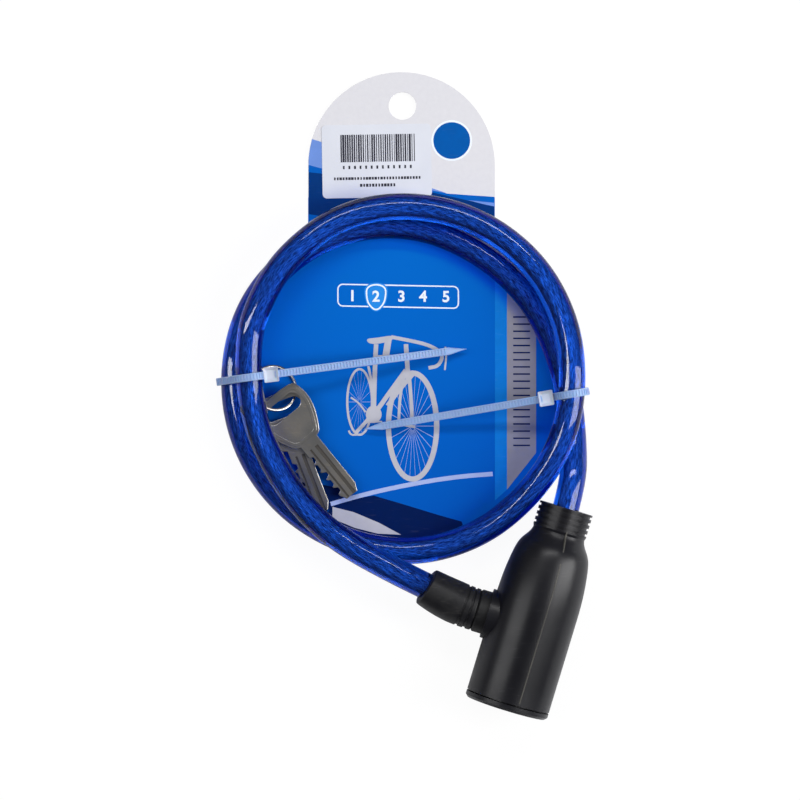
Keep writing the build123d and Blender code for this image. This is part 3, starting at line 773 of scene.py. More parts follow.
def grown(tree, settings, base=None):
    """Runs a Geometry Nodes tree on a base mesh and returns a plain mesh."""
    holder = linked("grown", base or bpy.data.meshes.new("grown"))
    modifier = holder.modifiers.new("grow", "NODES")
    modifier.node_group = tree
    for item in tree.interface.items_tree:
        if item.in_out == "INPUT" and item.name in settings:
            modifier[item.identifier] = settings[item.name]
    return as_mesh(holder)


def hull(points):
    """Convex hull, counter-clockwise."""
    points = sorted(points)

    def half(run):
        chain = []
        for x, y in run:
            while len(chain) > 1:
                (x0, y0), (x1, y1) = chain[-2:]
                if (x1 - x0) * (y - y0) > (y1 - y0) * (x - x0):
                    break
                chain.pop()
            chain.append((x, y))
        return chain[:-1]

    return half(points) + half(points[::-1])


def strap_loop(rounds, grow):
    """Closed line in the XZ plane at a distance outside the rounds that the strap goes over."""
    dots = []
    for x, z, radius in rounds:
        dots += [(x + (radius + grow) * c, z + (radius + grow) * s) for c, s in clock(LOOP_DOTS)]
    corners = [mm(x, 0, z) for x, z in hull(dots)]
    return even_steps(corners + corners[:1], LOOP_STEP * MM)[:-1]


def strap_frames(line, loop=False):
    """Frames of a line in the XZ plane, with up on the strap's outer face."""
    return [(ACROSS, ACROSS.cross(heading(line, index, loop))) for index in range(len(line))]


def strap_section(distance):
    """Strap outline with rounded edges and a shallow channel on its outer face."""
    w, t, edge = STRAP_WIDTH / 2, STRAP_THICKNESS / 2, STRAP_EDGE
    foot = t - CHANNEL_DEPTH
    return in_metres([
        (-w, -t + edge), (-w + edge, -t), (w - edge, -t), (w, -t + edge), (w, t - edge), (w - edge, t),
        (w - CHANNEL_RIM, t), (w - CHANNEL_FOOT, foot), (-w + CHANNEL_FOOT, foot), (-w + CHANNEL_RIM, t),
        (-w + edge, t), (-w, t - edge),
    ])


def strap_ribs(line, frames, closed, left_out=0):
    """Ribs in the channel of a strap, apart from the last steps of its line."""
    path = [point + up * RIB_MIDDLE * MM for point, (_, up) in zip(line, frames)]
    count = len(path) - left_out
    mesh = bpy.data.meshes.new("path")
    mesh.from_pydata(path[:count], [(i, (i + 1) % count) for i in range(count if closed else count - 1)], [])
    return grown(STRAP_RIBS, RIB_SIZES, mesh)


def tie_head():
    """The square ratchet housing, with its window and rounded edges."""
    work = bmesh.new()
    bmesh.ops.create_cube(work, size=1.0)
    bmesh.ops.scale(work, vec=Vector(HEAD_SIZE) * MM, verts=work.verts)
    top = max(work.faces, key=lambda f: f.calc_center_median().z)
    bmesh.ops.inset_region(work, faces=[top], thickness=HEAD_WINDOW_RIM * MM)
    bmesh.ops.translate(work, vec=mm(0, 0, -HEAD_WINDOW_DEPTH), verts=top.verts)
    bmesh.ops.translate(work, vec=mm(0, 0, HEAD_HEIGHT), verts=work.verts)
    mesh = bpy.data.meshes.new("head")
    work.to_mesh(mesh)
    work.free()
    mesh.materials.append(HEAD_NYLON)
    return baked(mesh, "BEVEL", {"width": HEAD_ROUNDING * MM, "segments": 2})


def cable_tie(side, head, turn, strands, tail_length):
    """One tie: a strap round the strands and the card, a head, a ribbed tail and a pointed tip."""
    from_middle = Vector((head[0] - CARD_MIDDLE[0], head[1] - CARD_MIDDLE[1], 0.0))
    along = from_middle.dot(turned_way(turn))
    rim = -along + math.sqrt(along ** 2 + CARD_RADIUS ** 2 - from_middle.length_squared)
    low = LOOP_CORNER - LOOP_SINK
    rounds = [(x, z, SHEATH_RADIUS + STRAND_GAP) for x, z in strands]
    rounds += [(x + LOOP_CORNER, low, LOOP_CORNER) for x in (SLOT_LENGTH / 4, rim)]
    loop = strap_loop(rounds, STRAP_THICKNESS / 2)
    loop_frames = strap_frames(loop, True)

    start = -HEAD_SIZE[0] / 2
    sag = mm(start - tail_length * TAIL_SAG_AT, 0, HEAD_HEIGHT * TAIL_SAG_HEIGHT)
    tip = mm(start - tail_length, 0, TAIL_TIP_HEIGHT + TAIL_LIFT)
    root = mm(start + TAIL_INSIDE_HEAD, 0, HEAD_HEIGHT + TAIL_LIFT)
    tail = even_steps(quadratic(root, sag, tip, CURVE_STEPS), TAIL_STEP_ALONG * MM)
    tail_frames = strap_frames(tail)
    reach = length_of(tail)

    def tip_section(distance):
        share = max(TIP_NARROWEST, min(1.0, (reach - distance) / MM / TAIL_POINT_LENGTH))
        thinned = TIP_THINNEST + (1.0 - TIP_THINNEST) * share
        return [(s * share, u * thinned) for s, u in strap_section(distance)]

    strap = [swept("strap", loop, loop_frames, strap_section, NYLON, loop=True),
             swept("tail", tail, tail_frames, tip_section, NYLON)]
    ribs = [strap_ribs(loop, loop_frames, True), strap_ribs(tail, tail_frames, False, TAIL_STEPS_WITHOUT_RIBS)]
    stand = Matrix.Translation(mm(*head)) @ Matrix.Rotation(math.radians(turn), 4, "Z")
    made = {"strap": joined("strap", strap), "strap_ribs": joined("ribs", ribs), "head": tie_head()}
    for part, mesh in made.items():
        outward(mesh)
        mesh.transform(stand)
        shown_mesh(f"{side}_tie_{part}", mesh, "lock_barrel",
                   [f"{side}_tie"] if part == "strap" else ())


cable_tie("left", (-44.3, 0.1), 187.6, [(12.68, 5.33), (7.29, 13.1)], 62.5)
cable_tie("right", (45.9, -7.7), 9.7, [(7.85, 4.97), (8.59, 14.34)], 58.3)

# ---- ink on the card
CARD_TOP = 0.6
LABEL_TOP = 0.75
INK = 0.02


INK_SINK = 0.01
INK_STEP = 0.0006


def slab(outline, bottom, top):
    """Points and faces of a flat closed shape between two heights."""
    area = sum(a[0] * b[1] - b[0] * a[1] for a, b in zip(outline, outline[1:] + outline[:1]))
    if area < 0:
        outline = outline[::-1]
    count = len(outline)
    points = [mm(x, y, bottom) for x, y in outline] + [mm(x, y, top) for x, y in outline]
    faces = [tuple(reversed(range(count))), tuple(range(count, 2 * count))]
    faces += [(i, (i + 1) % count, count + (i + 1) % count, count + i) for i in range(count)]
    return points, faces


def layered(outlines, material, layer=0):
    """One mesh of several flat shapes, each a hair higher than the one before."""
    points, faces = [], []
    for index, outline in enumerate(outlines):
        top = CARD_TOP + INK * (layer + 1) + index * INK_STEP
        p, f = slab(outline, CARD_TOP - INK_SINK, top)
        faces += [tuple(i + len(points) for i in face) for face in f]
        points += p
    return plain_mesh("ink", points, faces, material)


def ribbon(points, width, closed=False):
    """The two sides of a stroke."""
    left, right = [], []
    last = len(points) - 1
    for i, (x, y) in enumerate(points):
        ax, ay = points[i - 1] if closed or i else points[0]
        bx, by = points[(i + 1) % len(points)] if closed or i < last else points[-1]
        length = math.hypot(bx - ax, by - ay)
        nx, ny = -(by - ay) / length, (bx - ax) / length
        left.append((x + nx * width / 2, y + ny * width / 2))
        right.append((x - nx * width / 2, y - ny * width / 2))
    return left, right


def rounded(points, closed=False):
    """Cuts the corners of a line twice, keeping the ends of an open one."""
    for _ in range(2):
        cut = []
        for (ax, ay), (bx, by) in zip(points, points[1:] + points[:1] if closed else points[1:]):
            cut += [(ax * s + bx * t, ay * s + by * t) for s, t in ((0.75, 0.25), (0.25, 0.75))]
        points = cut if closed else [points[0]] + cut + [points[-1]]
    return points


def stroke(points, width):
    left, right = ribbon(rounded(points), width)
    return left + right[::-1]


def hoop_mesh(points, width, material, layer=0):
    """A closed stroke as a band mesh with a hole in it."""
    count = len(points)
    heights = (CARD_TOP - INK_SINK, CARD_TOP + INK * (layer + 1))
    corners = [mm(x, y, z) for ring in ribbon(points, width, closed=True) for z in heights for x, y in ring]
    faces = []
    for i in range(count):
        k = (i + 1) % count
        for a, b in ((0, 1), (1, 3), (3, 2), (2, 0)):
            faces.append((a * count + i, a * count + k, b * count + k, b * count + i))
    mesh = plain_mesh("hoop", corners, faces, material)
    outward(mesh)
    return mesh


def oval(middle, across, up, count=72):
    return [(middle[0] + across * c, middle[1] + up * s) for c, s in clock(count)]


def on_card(points, margin=0.3):
    """Draws points that lie past the card's rim back onto it."""
    kept = []
    for x, y in points:
        dx, dy = x - CARD_MIDDLE[0], y - CARD_MIDDLE[1]
        reach = math.hypot(dx, dy)
        share = min(1.0, (CARD_RADIUS - margin) / reach) if y < 40 else 1.0
        kept.append((CARD_MIDDLE[0] + dx * share, CARD_MIDDLE[1] + dy * share))
    return kept


def printed(name, meshes):
    mesh = joined(name, meshes) if len(meshes) > 1 else meshes[0]
    return shown_mesh(name, mesh, "lock_barrel")


def stamped(name, outlines, material, layer=0):
    return printed(name, [layered(outlines, material, layer)])


def rim_arc(start, end, steps=16, margin=0.3):
    """Points along the card's rim between two angles."""
    arc = []
    for i in range(steps + 1):
        turn = math.radians(start + (end - start) * i / steps)
        arc.append(tuple(c + (CARD_RADIUS - margin) * f(turn) for c, f in zip(CARD_MIDDLE, (math.cos, math.sin))))
    return arc


stamped("print_light_column", [[(29.55, -41.6), (33.55, -38.0), (33.55, 36.0), (29.55, 40.2)]], COLUMN_INK)
stamped("print_silver_bar", [[(33.55, -38.0), (43.2, -25.8), (43.2, 23.6), (33.55, 36.0)]], SILVER_INK)
stamped("print_navy_fields", [
    [(-25.0, -43.6), (-15.0, -40.7), (-10.7, -40.0), (-2.4, -42.4), (11.0, -46.5), (18.5, -48.6)]
    + rim_arc(-68.0, -119.0),
    [(-20.1, -40.0), (-21.7, -37.5), (-26.3, -36.7), (-33.0, -35.5), (-37.4, -34.2)] + rim_arc(-137.5, -121.0, 6),
], NAVY_INK)
stamped("print_white_wedge", [on_card([
    (-24.4, -43.7), (-17.3, -45.5), (-9.0, -49.0), (-1.6, -53.0), (-9.5, -52.6), (-17.0, -50.7), (-24.4, -47.6),
])], GREY_INK, layer=1)
ROAD = [(-25.0, -42.8), (-15.0, -39.9), (-6.1, -37.8), (2.4, -36.1), (11.0, -34.6), (19.5, -33.5), (28.8, -32.8)]
ROAD_WIDTH = 1.45
stamped("print_road_line", [stroke(ROAD, ROAD_WIDTH)], ROAD_INK, layer=2)

# tab: waves of blue under the white
TAB_LEFT, TAB_RIGHT = -32.35, 29.35
stamped("print_tab_navy", [[
    (TAB_LEFT, 67.5), (-27.8, 67.0), (-16.5, 64.9), (8.3, 61.2), (13.6, 59.8), (20.6, 58.0), (25.2, 57.1),
    (TAB_RIGHT, 56.1), (TAB_RIGHT, 51.5), (16.0, 54.3), (-7.2, 55.7), (-27.6, 52.7), (TAB_LEFT, 53.5),
]], TAB_NAVY_INK)
stamped("print_tab_bright", [
    [(TAB_LEFT, 69.9), (-27.8, 68.6), (-19.7, 67.3), (-19.7, 64.9), (-27.8, 66.9), (TAB_LEFT, 67.4)],
    [(8.3, 61.8), (13.6, 60.3), (20.6, 59.8), (TAB_RIGHT, 59.2), (TAB_RIGHT, 57.2), (20.6, 58.0), (13.6, 59.6),
     (8.3, 60.8)],
], BRIGHT_INK, layer=1)
stamped("print_tab_pale", [
    [(-31.2, 78.4), (-28.0, 77.4), (-19.7, 75.6), (-19.7, 66.8), (-27.8, 68.6), (TAB_LEFT, 69.8), (TAB_LEFT, 71.4),
     (-31.9, 75.2)],
    [(20.6, 58.1), (TAB_RIGHT, 57.2), (TAB_RIGHT, 56.0), (25.2, 56.9)],
    [(8.3, 62.2), (13.6, 60.4), (8.3, 61.4)],
], PALE_INK, layer=2)
ROUNDEL_MIDDLE, ROUNDEL_RADIUS, HALO_RADIUS = (15.2, 77.9), 6.1, 6.75
stamped("print_roundel_halo", [oval(ROUNDEL_MIDDLE, HALO_RADIUS, HALO_RADIUS)], WHITE_INK)
stamped("print_roundel", [oval(ROUNDEL_MIDDLE, ROUNDEL_RADIUS, ROUNDEL_RADIUS)], ROUNDEL_INK, layer=1)

# level scale: a frame, a shield round one number, and the numbers
NUMBER_SIZE = 5.04
NUMBER_BOLDNESS = 0.14
NUMBER_HEIGHT_ON_CARD = 0.075
FRAME_LOW, FRAME_HIGH, FRAME_CORNER, FRAME_SLOPE = (-22.6, 22.6), (17.4, 29.8), 1.6, 0.02
FRAME_MIDDLE_X, FRAME_LINE, SHIELD_LINE = -2.6, 0.42, 0.5


def scale_frame():
    near_x, near_y = (low + FRAME_CORNER for low in FRAME_LOW)
    far_x, far_y = (high - FRAME_CORNER for high in FRAME_HIGH)
    outline = []
    corners = ((far_x, far_y), (near_x, far_y), (near_x, near_y), (far_x, near_y))
    for quarter, (cx, cy) in enumerate(corners):
        for turn in (0, 22, 45, 67, 90):
            angle = math.radians(90 * quarter + turn)
            outline.append((cx + FRAME_CORNER * math.cos(angle), cy + FRAME_CORNER * math.sin(angle)))
    return [(x, y - FRAME_SLOPE * (x - FRAME_MIDDLE_X)) for x, y in outline]


SHIELD = [(-9.9, 30.3), (-6.7, 29.2), (-6.75, 25.9), (-7.6, 23.3), (-9.9, 21.3), (-12.3, 23.3), (-13.1, 25.9),
          (-13.1, 29.2)]
SHIELD_MIDDLE, GLOW_GROWTH = (-9.9, 25.8), (1.22, 1.16)
printed("print_scale_frame", [hoop_mesh(scale_frame(), FRAME_LINE, WHITE_INK)])
shield_line = rounded(SHIELD, closed=True)
glow = [tuple(m + (v - m) * g for v, m, g in zip(corner, SHIELD_MIDDLE, GLOW_GROWTH)) for corner in shield_line]
stamped("print_shield_glow", [glow], GLOW_INK, layer=1)
printed("print_shield", [hoop_mesh(shield_line, SHIELD_LINE, WHITE_INK, layer=2)])


def number_mesh(figure, x, y):
    """A plain number, made a thin closed mesh on the card."""
    text = bpy.data.curves.new("number", "FONT")
    text.body = figure
    text.size = NUMBER_SIZE * MM
    text.extrude = INK * MM
    text.offset = NUMBER_BOLDNESS * MM
    text.align_x, text.align_y = "CENTER", "CENTER"
    mesh = as_mesh(linked("number", text))
    mesh.transform(Matrix.Translation(mm(x, y, CARD_TOP + NUMBER_HEIGHT_ON_CARD)))
    only(mesh, WHITE_INK)
    outward(mesh, weld=0.001 * MM)
    return mesh


numbers = [("1", -17.8, 26.2), ("2", -9.95, 26.0), ("3", -1.5, 26.0), ("4", 5.7, 26.0), ("5", 13.3, 25.9)]
printed("print_scale_numbers", [number_mesh(*n) for n in numbers])


# a plain bicycle drawn in light grey
def round_a_hub(tree, given):
    """Thin bars from a hub to a rim, evenly turned."""
    both = maths(tree, "ADD", given["Inner"], given["Outer"])
    reach = maths(tree, "SUBTRACT", given["Outer"], given["Inner"])
    ring = place(tree, "GeometryNodeMeshCircle",
                 {"Vertices": given["Spokes"], "Radius": maths(tree, "MULTIPLY", both, 0.5)})
    where = place(tree, "GeometryNodeInputPosition")[0]
    turn = place(tree, "FunctionNodeAlignRotationToVector", {"Vector": where}, axis="X", pivot_axis="Z")
    return ring[0], (reach, given["Width"], given["Thickness"]), {"Rotation": turn[0]}


SPOKE_SIZES = dict.fromkeys(("Inner", "Outer", "Width", "Thickness"), FLOAT)
WHEEL_SPOKES = pattern_tree("wheel_spokes", {"Spokes": INTEGER, **SPOKE_SIZES}, round_a_hub)
BAR_THICKNESS = 0.03
BAR_HEIGHT_ON_CARD = 0.01


def drawn_spokes(middle, across, up, count):
    """Spokes of a wheel whose rim is one unit from its hub, stretched to an oval."""
    mesh = grown(WHEEL_SPOKES, {"Spokes": count, "Inner": 0.08, "Outer": 0.97, "Width": 0.012,
                                "Thickness": BAR_THICKNESS * MM, "Material": ROAD_INK})
    stretch = Matrix.Diagonal((across * MM, up * MM, 1.0, 1.0))
    mesh.transform(Matrix.Translation(mm(*middle, CARD_TOP + BAR_HEIGHT_ON_CARD)) @ stretch)
    return mesh


FRONT_WHEEL, REAR_WHEEL = ((2.2, -16.9), 8.0, 17.6), ((-15.4, -8.9), 4.1, 10.9)
BICYCLE = [
    ([(-9.9, 10.3), (-10.3, 3.0), (-10.7, -12.3)], 1.5), ([(-5.8, 12.1), (-6.7, 6.3)], 2.2),
    ([(-10.4, 6.0), (-4.9, 6.3), (0.0, 5.7)], 1.1), ([(0.0, 1.7), (-4.9, -5.0), (-9.2, -11.1)], 1.5),
    ([(2.4, 0.5), (-2.4, -5.0), (-6.1, -10.2)], 1.5), ([(0.0, 10.3), (0.3, 5.4), (0.7, -0.1)], 1.5),
    ([(-4.9, 12.7), (1.2, 11.5), (6.7, 10.3), (11.0, 8.2), (12.3, 6.0), (10.7, 3.0), (7.5, 2.4)], 1.2),
    ([(13.1, 9.4), (13.4, 6.3), (12.9, 1.7)], 0.6), ([(-0.9, -1.3), (-2.1, -8.0), (-2.4, -16.0)], 0.95),
    ([(1.1, -0.7), (1.7, -8.0), (2.1, -15.7)], 1.2), ([(-2.7, -16.1), (3.1, -17.2)], 0.95),
    ([(-12.5, 3.0), (-11.3, -2.5), (-11.1, -9.2)], 0.8), ([(-10.7, -12.3), (-13.7, -16.0), (-16.8, -19.3)], 1.2),
    ([(-18.3, -7.4), (-15.6, -9.2), (-13.4, -12.3)], 0.6), ([(-19.0, -18.4), (-18.3, -19.9), (-15.6, -19.7)], 0.6),
    ([(-13.1, -15.7), (-7.9, -15.4)], 0.5),
]
SADDLE = [(-13.1, 12.1), (-9.8, 12.4), (-4.9, 13.2), (-3.4, 12.7), (-4.9, 11.5), (-7.9, 10.6), (-11.0, 10.3),
          (-12.7, 10.8)]
CHAINWHEEL = ((-10.7, -13.0), 2.6, 2.9, 32)
FRONT_SPOKES, REAR_SPOKES = 26, 18
FRONT_TYRE, REAR_TYRE = 1.75, 0.75
printed("print_bicycle_spokes", [drawn_spokes(*FRONT_WHEEL, FRONT_SPOKES), drawn_spokes(*REAR_WHEEL, REAR_SPOKES)])
drawn_lines = [stroke(points, width) for points, width in BICYCLE]
drawn_lines += [rounded(SADDLE, closed=True), oval(*CHAINWHEEL)]
printed("print_bicycle", [hoop_mesh(oval(*FRONT_WHEEL), FRONT_TYRE, GREY_INK, layer=1),
                          hoop_mesh(oval(*REAR_WHEEL), REAR_TYRE, GREY_INK, layer=1),
                          layered(drawn_lines, GREY_INK, layer=2)])


# label: bars of several widths and rows of small blocks
def in_a_row(tree, given):
    """Bars along X with widths drawn from a range by a fixed seed."""
    row = place(tree, "GeometryNodeMeshLine", {"Count": given["Count"], "Offset": three(tree, given["Pitch"])})
    drawn = place(tree, "FunctionNodeRandomValue", {2: given["Narrow"], 3: given["Wide"], 8: given["Seed"]},
                  data_type="FLOAT")
    size = (given["Pitch"], given["Height"], given["Thickness"])
    return row[0], size, {"Scale": three(tree, drawn[1], 1.0, 1.0)}


BAR_SIZES = dict.fromkeys(("Pitch", "Narrow", "Wide", "Height", "Thickness"), FLOAT)
ROW_OF_BARS = pattern_tree("row_of_bars", {"Count": INTEGER, "Seed": INTEGER, **BAR_SIZES}, in_a_row)


def bars_at(left, right, middle, height, count, widths, seed, material, base):
    pitch = (right - left) / count
    mesh = grown(ROW_OF_BARS, {"Count": count, "Pitch": pitch * MM, "Narrow": widths[0], "Wide": widths[1],
                               "Height": height * MM, "Thickness": BAR_THICKNESS * MM, "Seed": seed,
                               "Material": material})
    mesh.transform(Matrix.Translation(mm(left + pitch / 2, middle, base + BAR_HEIGHT_ON_CARD)))
    return mesh


LABEL_MIDDLE, LABEL_TURN = (-9.7, 71.1), 1.0
# left end, right end, middle, height, number of bars, share of the pitch that a bar takes, seed
LABEL_ROWS = [(-21.8, 3.2, 75.4, 9.1, 34, (0.25, 0.95), 5), (-21.6, 2.5, 69.1, 1.1, 13, (0.3, 0.34), 2),
              (-24.2, 4.9, 65.4, 0.9, 30, (0.45, 0.9), 8), (-15.5, -3.5, 63.1, 1.0, 12, (0.5, 0.9), 4)]
BAR_MARKS = (-23.0, 22.0, 0.0, 5.6, 19, (0.2, 0.22), 1)
BAR_MARKS_PLACE, BAR_MARKS_LIFT = (38.4, -1.5), 0.025


def spun(degrees):
    return Matrix.Rotation(math.radians(degrees), 4, "Z")


label_spin = Matrix.Translation(mm(*LABEL_MIDDLE)) @ spun(LABEL_TURN) @ Matrix.Translation(-mm(*LABEL_MIDDLE))
label_bars = [bars_at(*row, BLACK_INK, LABEL_TOP) for row in LABEL_ROWS]
for mesh in label_bars:
    mesh.transform(label_spin)
printed("print_label_bars", label_bars)
bar_marks = bars_at(*BAR_MARKS, NAVY_INK, CARD_TOP + BAR_MARKS_LIFT)
bar_marks.transform(Matrix.Translation(mm(*BAR_MARKS_PLACE)) @ spun(90.0))
printed("print_bar_marks", [bar_marks])

# ---- ring and keys
KEY_THICKNESS = 1.5
KEY_LEAN = Vector((-0.011298, 0.061623, 0.0))
KEY_HALF_BLADE = 3.4
KEY_REACH = 21.2
KEY_HOLE_BACK = 15.3
KEY_BOW = [(-1.5, 3.4), (-2.3, 5.5), (-11.6, 9.8), (-19.6, 8.9), (-20.6, 6.5), (-21.0, 0.0)]
KEY_CUTS = (1.2, 0.6, 1.5, 0.9, 1.3)
FIRST_CUT, CUT_PITCH, CUT_HALF, CUT_SLOPE = 4.2, 3.2, 1.35, 0.55
TIP_CHAMFER = 1.2
TIP_STARTS = (18.9, 18.6)
BOW_SLOT = (13.8, 5.6)
BOW_MIDDLE = (-11.5, 0.0)
BORDER_FROM, BORDER_TO, BORDER_HALF = 0.9, 2.0, 0.16
# distance off the blade's middle and width of each groove
GROOVES = ((1.1, 1.2), (-1.3, 0.7))
GROOVE_LENGTH, GROOVE_HEIGHT, GROOVE_MIDDLE = 22.0, 0.8, 12.0
KEY_ROUNDING, BORDER_ROUNDING = 0.16, 0.06


def flat_shape(loops, half_thickness, bevel, material):
    """A filled outline with holes, given a thickness and rounded edges."""
    curve = bpy.data.curves.new("flat", "CURVE")
    curve.dimensions = "2D"
    curve.fill_mode = "BOTH"
    curve.extrude = (half_thickness - bevel) * MM
    curve.bevel_depth = bevel * MM
    curve.bevel_resolution = 1
    curve.offset = -bevel * MM
    for loop in loops:
        spline = curve.splines.new("POLY")
        spline.points.add(len(loop) - 1)
        for corner, (x, y) in zip(spline.points, loop):
            corner.co = (x * MM, y * MM, 0.0, 1.0)
        spline.use_cyclic_u = True
    mesh = as_mesh(linked("flat", curve))
    only(mesh, material)
    outward(mesh, weld=0.002 * MM)
    return mesh


def slot_outline(length, width, x):
    """A rounded slot across the key, at x from the shoulder."""
    radius = width / 2
    outline = []
    for sign, start in ((1, 0), (-1, 180)):
        middle = sign * (length / 2 - radius)
        for step in range(0, 181, 15):
            angle = math.radians(start + step)
            outline.append((x + radius * math.cos(angle), middle + radius * math.sin(angle)))
    return outline


def groove_cutter(y, width, sign):
    """A bar that sinks one groove into one face of the blade."""
    bar = bmesh.new()
    bmesh.ops.create_cube(bar, size=1.0)
    bmesh.ops.scale(bar, vec=mm(GROOVE_LENGTH, width, GROOVE_HEIGHT), verts=bar.verts)
    bmesh.ops.translate(bar, vec=mm(GROOVE_MIDDLE, y * sign, sign * KEY_THICKNESS / 2), verts=bar.verts)
    mesh = bpy.data.meshes.new("groove")
    bar.to_mesh(mesh)
    bar.free()
    # the groove walls get the painted-shade nickel
    mesh.materials.append(KEY_GROOVE_SHADE)
    return linked("groove", mesh)


def key_mesh():
    """Stamped key: a rounded bow with a raised border, and a grooved blade with cuts."""
    bow = rounded(KEY_BOW + [(x, -y) for x, y in reversed(KEY_BOW[:-1])])
    teeth = []
    for index, depth in enumerate(KEY_CUTS):
        centre = FIRST_CUT + index * CUT_PITCH
        slope = CUT_HALF - depth * CUT_SLOPE
        teeth += [(centre - CUT_HALF, -KEY_HALF_BLADE), (centre - slope, depth - KEY_HALF_BLADE),
                  (centre + slope, depth - KEY_HALF_BLADE), (centre + CUT_HALF, -KEY_HALF_BLADE)]
    tip = [(TIP_STARTS[0], -KEY_HALF_BLADE), (KEY_REACH, TIP_CHAMFER - KEY_HALF_BLADE),
           (KEY_REACH, KEY_HALF_BLADE - TIP_CHAMFER), (TIP_STARTS[1], KEY_HALF_BLADE)]
    plate = flat_shape([bow + teeth + tip, slot_outline(*BOW_SLOT, -KEY_HOLE_BACK)], KEY_THICKNESS / 2, KEY_ROUNDING,
                       KEY_NICKEL)
    for sign in (1, -1):
        for y, width in GROOVES:
            tool = groove_cutter(y, width, sign)
            plate = baked(plate, "BOOLEAN", {"operation": "DIFFERENCE", "object": tool, "solver": "EXACT",
                                             "material_mode": "TRANSFER"})
            bpy.data.objects.remove(tool)

    def shrunk(amount):
        result = []
        for x, y in bow:
            dx, dy = x - BOW_MIDDLE[0], y - BOW_MIDDLE[1]
            share = 1 - amount / math.hypot(dx, dy)
            result.append((BOW_MIDDLE[0] + dx * share, BOW_MIDDLE[1] + dy * share))
        return result

    parts = [plate]
    for side in (1, -1):
        border = flat_shape([shrunk(BORDER_FROM), shrunk(BORDER_TO)], BORDER_HALF, BORDER_ROUNDING, KEY_NICKEL)
        border.transform(Matrix.Translation(mm(0, 0, side * KEY_THICKNESS / 2)))
        parts.append(border)
    return joined("key", parts)


def key_stand(hole, turn, height):
    """Where a key lies: its shoulder's frame, X to the tip, leaning on what is under it."""
    flat = turned_way(turn)
    along = (flat + UPRIGHT * flat.dot(KEY_LEAN)).normalized()
    normal = Vector((-KEY_LEAN.x, -KEY_LEAN.y, 1.0)).normalized()
    across = normal.cross(along)
    origin = mm(*hole, height) + along * KEY_HOLE_BACK * MM
    stand = Matrix((along, across, normal)).transposed().to_4x4()
    stand.translation = origin
    return stand


KEY_CREASE = 18.0
UPPER_TURN, UPPER_HEIGHT, LOWER_TURN, LOWER_HEIGHT = -51.0, 5.4955, -69.0, 3.8455
UPPER_HOLE, LOWER_HOLE = (-40.8, -11.25), (-41.0, -11.3)
rise = (Vector((*LOWER_HOLE, 0)) - Vector((*UPPER_HOLE, 0))).dot(KEY_LEAN)
for name, node, body, hole, turn, height in (
    ("upper_key_detailed", "key_1", "upper_key", UPPER_HOLE, UPPER_TURN, UPPER_HEIGHT),
    ("lower_key_detailed", "key_2", "lower_key", LOWER_HOLE, LOWER_TURN, LOWER_HEIGHT + rise),
):
    mesh = key_mesh()
    mesh.transform(key_stand(hole, turn, height))
    shown_mesh(name, mesh, body, [node], crease=KEY_CREASE)

RING_RADIUS = 7.46
RING_TURNS = 1.94
RING_TILT = 25.0
RING_MIDDLE = (-43.5, -4.3, 4.463)
RING_CREASE = 50.0
RING_STEPS = 230
RING_HIGH_SIDE = 215.0
RING_START = 2.2
RING_STEP_OVER, RING_STEP_SHARPNESS = 0.2, 14.0
RING_SECTION = [(-0.42, -0.1), (-0.32, -0.19), (0.32, -0.19), (0.42, -0.1), (0.42, 0.1), (0.32, 0.19),
                (-0.32, 0.19), (-0.42, 0.1)]


def split_ring():
    """Flat spring wire wound almost twice, one turn on the other."""
    tilt = math.radians(RING_TILT)
    high = turned_way(RING_HIGH_SIDE)
    normal = high * -math.sin(tilt) + UPRIGHT * math.cos(tilt)
    level = high * math.cos(tilt) + UPRIGHT * math.sin(tilt)
    other = normal.cross(level)
    line, frames = [], []
    for i in range(RING_STEPS + 1):
        turn = math.tau * RING_TURNS * i / RING_STEPS + RING_START
        lift = RING_STEP_OVER * math.tanh((i / RING_STEPS - 0.5) * RING_STEP_SHARPNESS)
        out = level * math.cos(turn) + other * math.sin(turn)
        line.append(mm(*RING_MIDDLE) + (out * RING_RADIUS + normal * lift) * MM)
        frames.append((out, normal))
    mesh = swept("ring", line, frames, lambda distance: in_metres(RING_SECTION), RING_NICKEL)
    outward(mesh)
    return mesh


shown_mesh("split_key_ring", split_ring(), "ring", ["key_ring"], crease=RING_CREASE)

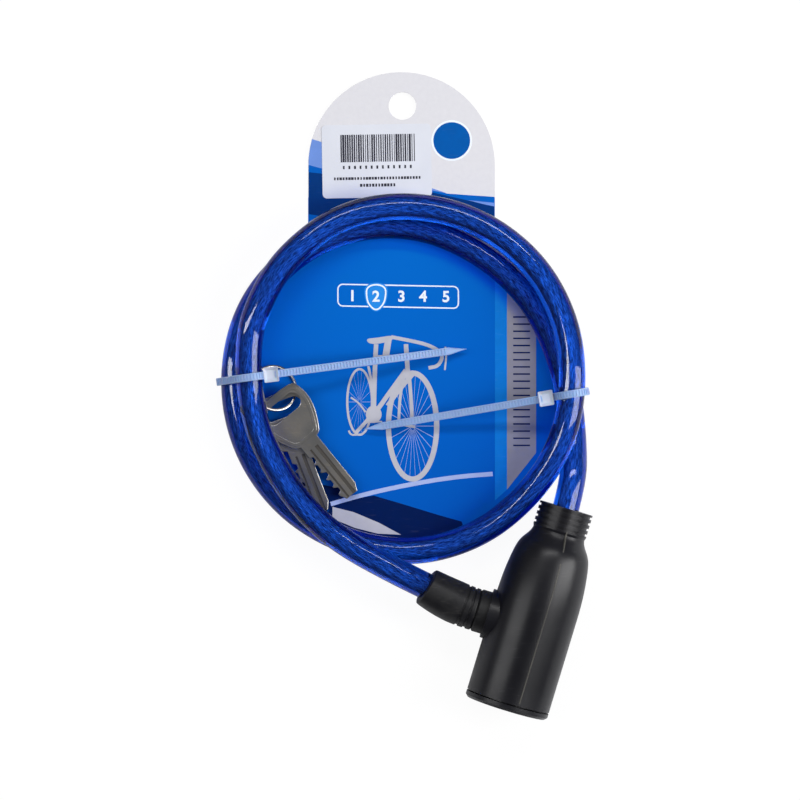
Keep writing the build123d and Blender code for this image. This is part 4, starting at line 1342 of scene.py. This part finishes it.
# ---- finishes of the CAD nodes
node_finishes = {
    "outer_sleeve": SLEEVE_VINYL, "end_cap": SLEEVE_VINYL, "plug_boot": BOOT_VINYL, "socket_collar": COLLAR_PLASTIC,
    "lock_case": CAST_ZINC, "core_housing": CAST_ZINC, "core_cam": CAST_ZINC, "lock_core": TURNED_BRASS,
    "core_clip": SPRING_STEEL, "wafer_springs": SPRING_STEEL, "latch_bar": PLATED_STEEL,
    "locking_bolt": PLATED_STEEL,
    "cable_ferrule": PLATED_STEEL, "ferrule_pin": PLATED_STEEL, "bolt_ferrule": PLATED_STEEL,
    "key_ring": RING_NICKEL,
    "key_1": KEY_NICKEL, "key_2": KEY_NICKEL, "hang_card": CARD, "price_label": LABEL_PAPER, "left_tie": NYLON,
    "right_tie": NYLON,
    "cable_sheath_coil": COVER, "cable_sheath_tail": COVER, "wire_rope_coil": ROPE, "wire_rope_tail": ROPE,
}
for name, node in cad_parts.items():
    material = node_finishes.get(name, WAFER_BRASS)
    if not node.material_slots:
        node.data.materials.append(material)
    for material_slot in node.material_slots:
        material_slot.material = material


# ---- floor and world
FLOOR_HALF = 3.0
FLOOR_GAP = 0.02
FLOOR_COLOUR = (0.84, 0.84, 0.85, 1.0)
FLOOR_ROUGHNESS = 0.9
FLOOR_GLOW = 1.02
GLOW_SHARE = 0.93
WHITE = (1.0, 1.0, 1.0, 1.0)
SKY_COLOUR = (0.95, 0.97, 1.0, 1.0)
SKY_STRENGTH = 0.13


def pale_floor():
    """A pale floor that shows white and keeps part of the shadow."""
    material, tree, shader, _ = blank_material("pale_floor")
    feed(tree, shader, {"Base Color": FLOOR_COLOUR, "Roughness": FLOOR_ROUGHNESS})
    light = place(tree, "ShaderNodeEmission", {"Color": WHITE, "Strength": FLOOR_GLOW})[0]
    seen = place(tree, "ShaderNodeLightPath")["Is Camera Ray"]
    show_either(tree, "Material Output", maths(tree, "MULTIPLY", seen, GLOW_SHARE), shader.outputs[0], light)
    return material


floor_z = cad_low.z - FLOOR_GAP * MM
floor_corners = [(x * FLOOR_HALF, y * FLOOR_HALF, floor_z) for x, y in ((-1, -1), (1, -1), (1, 1), (-1, 1))]
studio_floor = linked("floor", plain_mesh("floor", floor_corners, [(0, 1, 2, 3)], pale_floor()))

world = bpy.data.worlds.new("studio")
world.use_nodes = True
bpy.context.scene.world = world
sky = world.node_tree
back = sky.nodes["Background"]
feed(sky, back, {"Strength": SKY_STRENGTH, "Color": SKY_COLOUR})
white = place(sky, "ShaderNodeBackground", {"Color": WHITE, "Strength": 1.0})[0]
camera_ray = place(sky, "ShaderNodeLightPath")["Is Camera Ray"]
show_either(sky, "World Output", camera_ray, back.outputs[0], white)
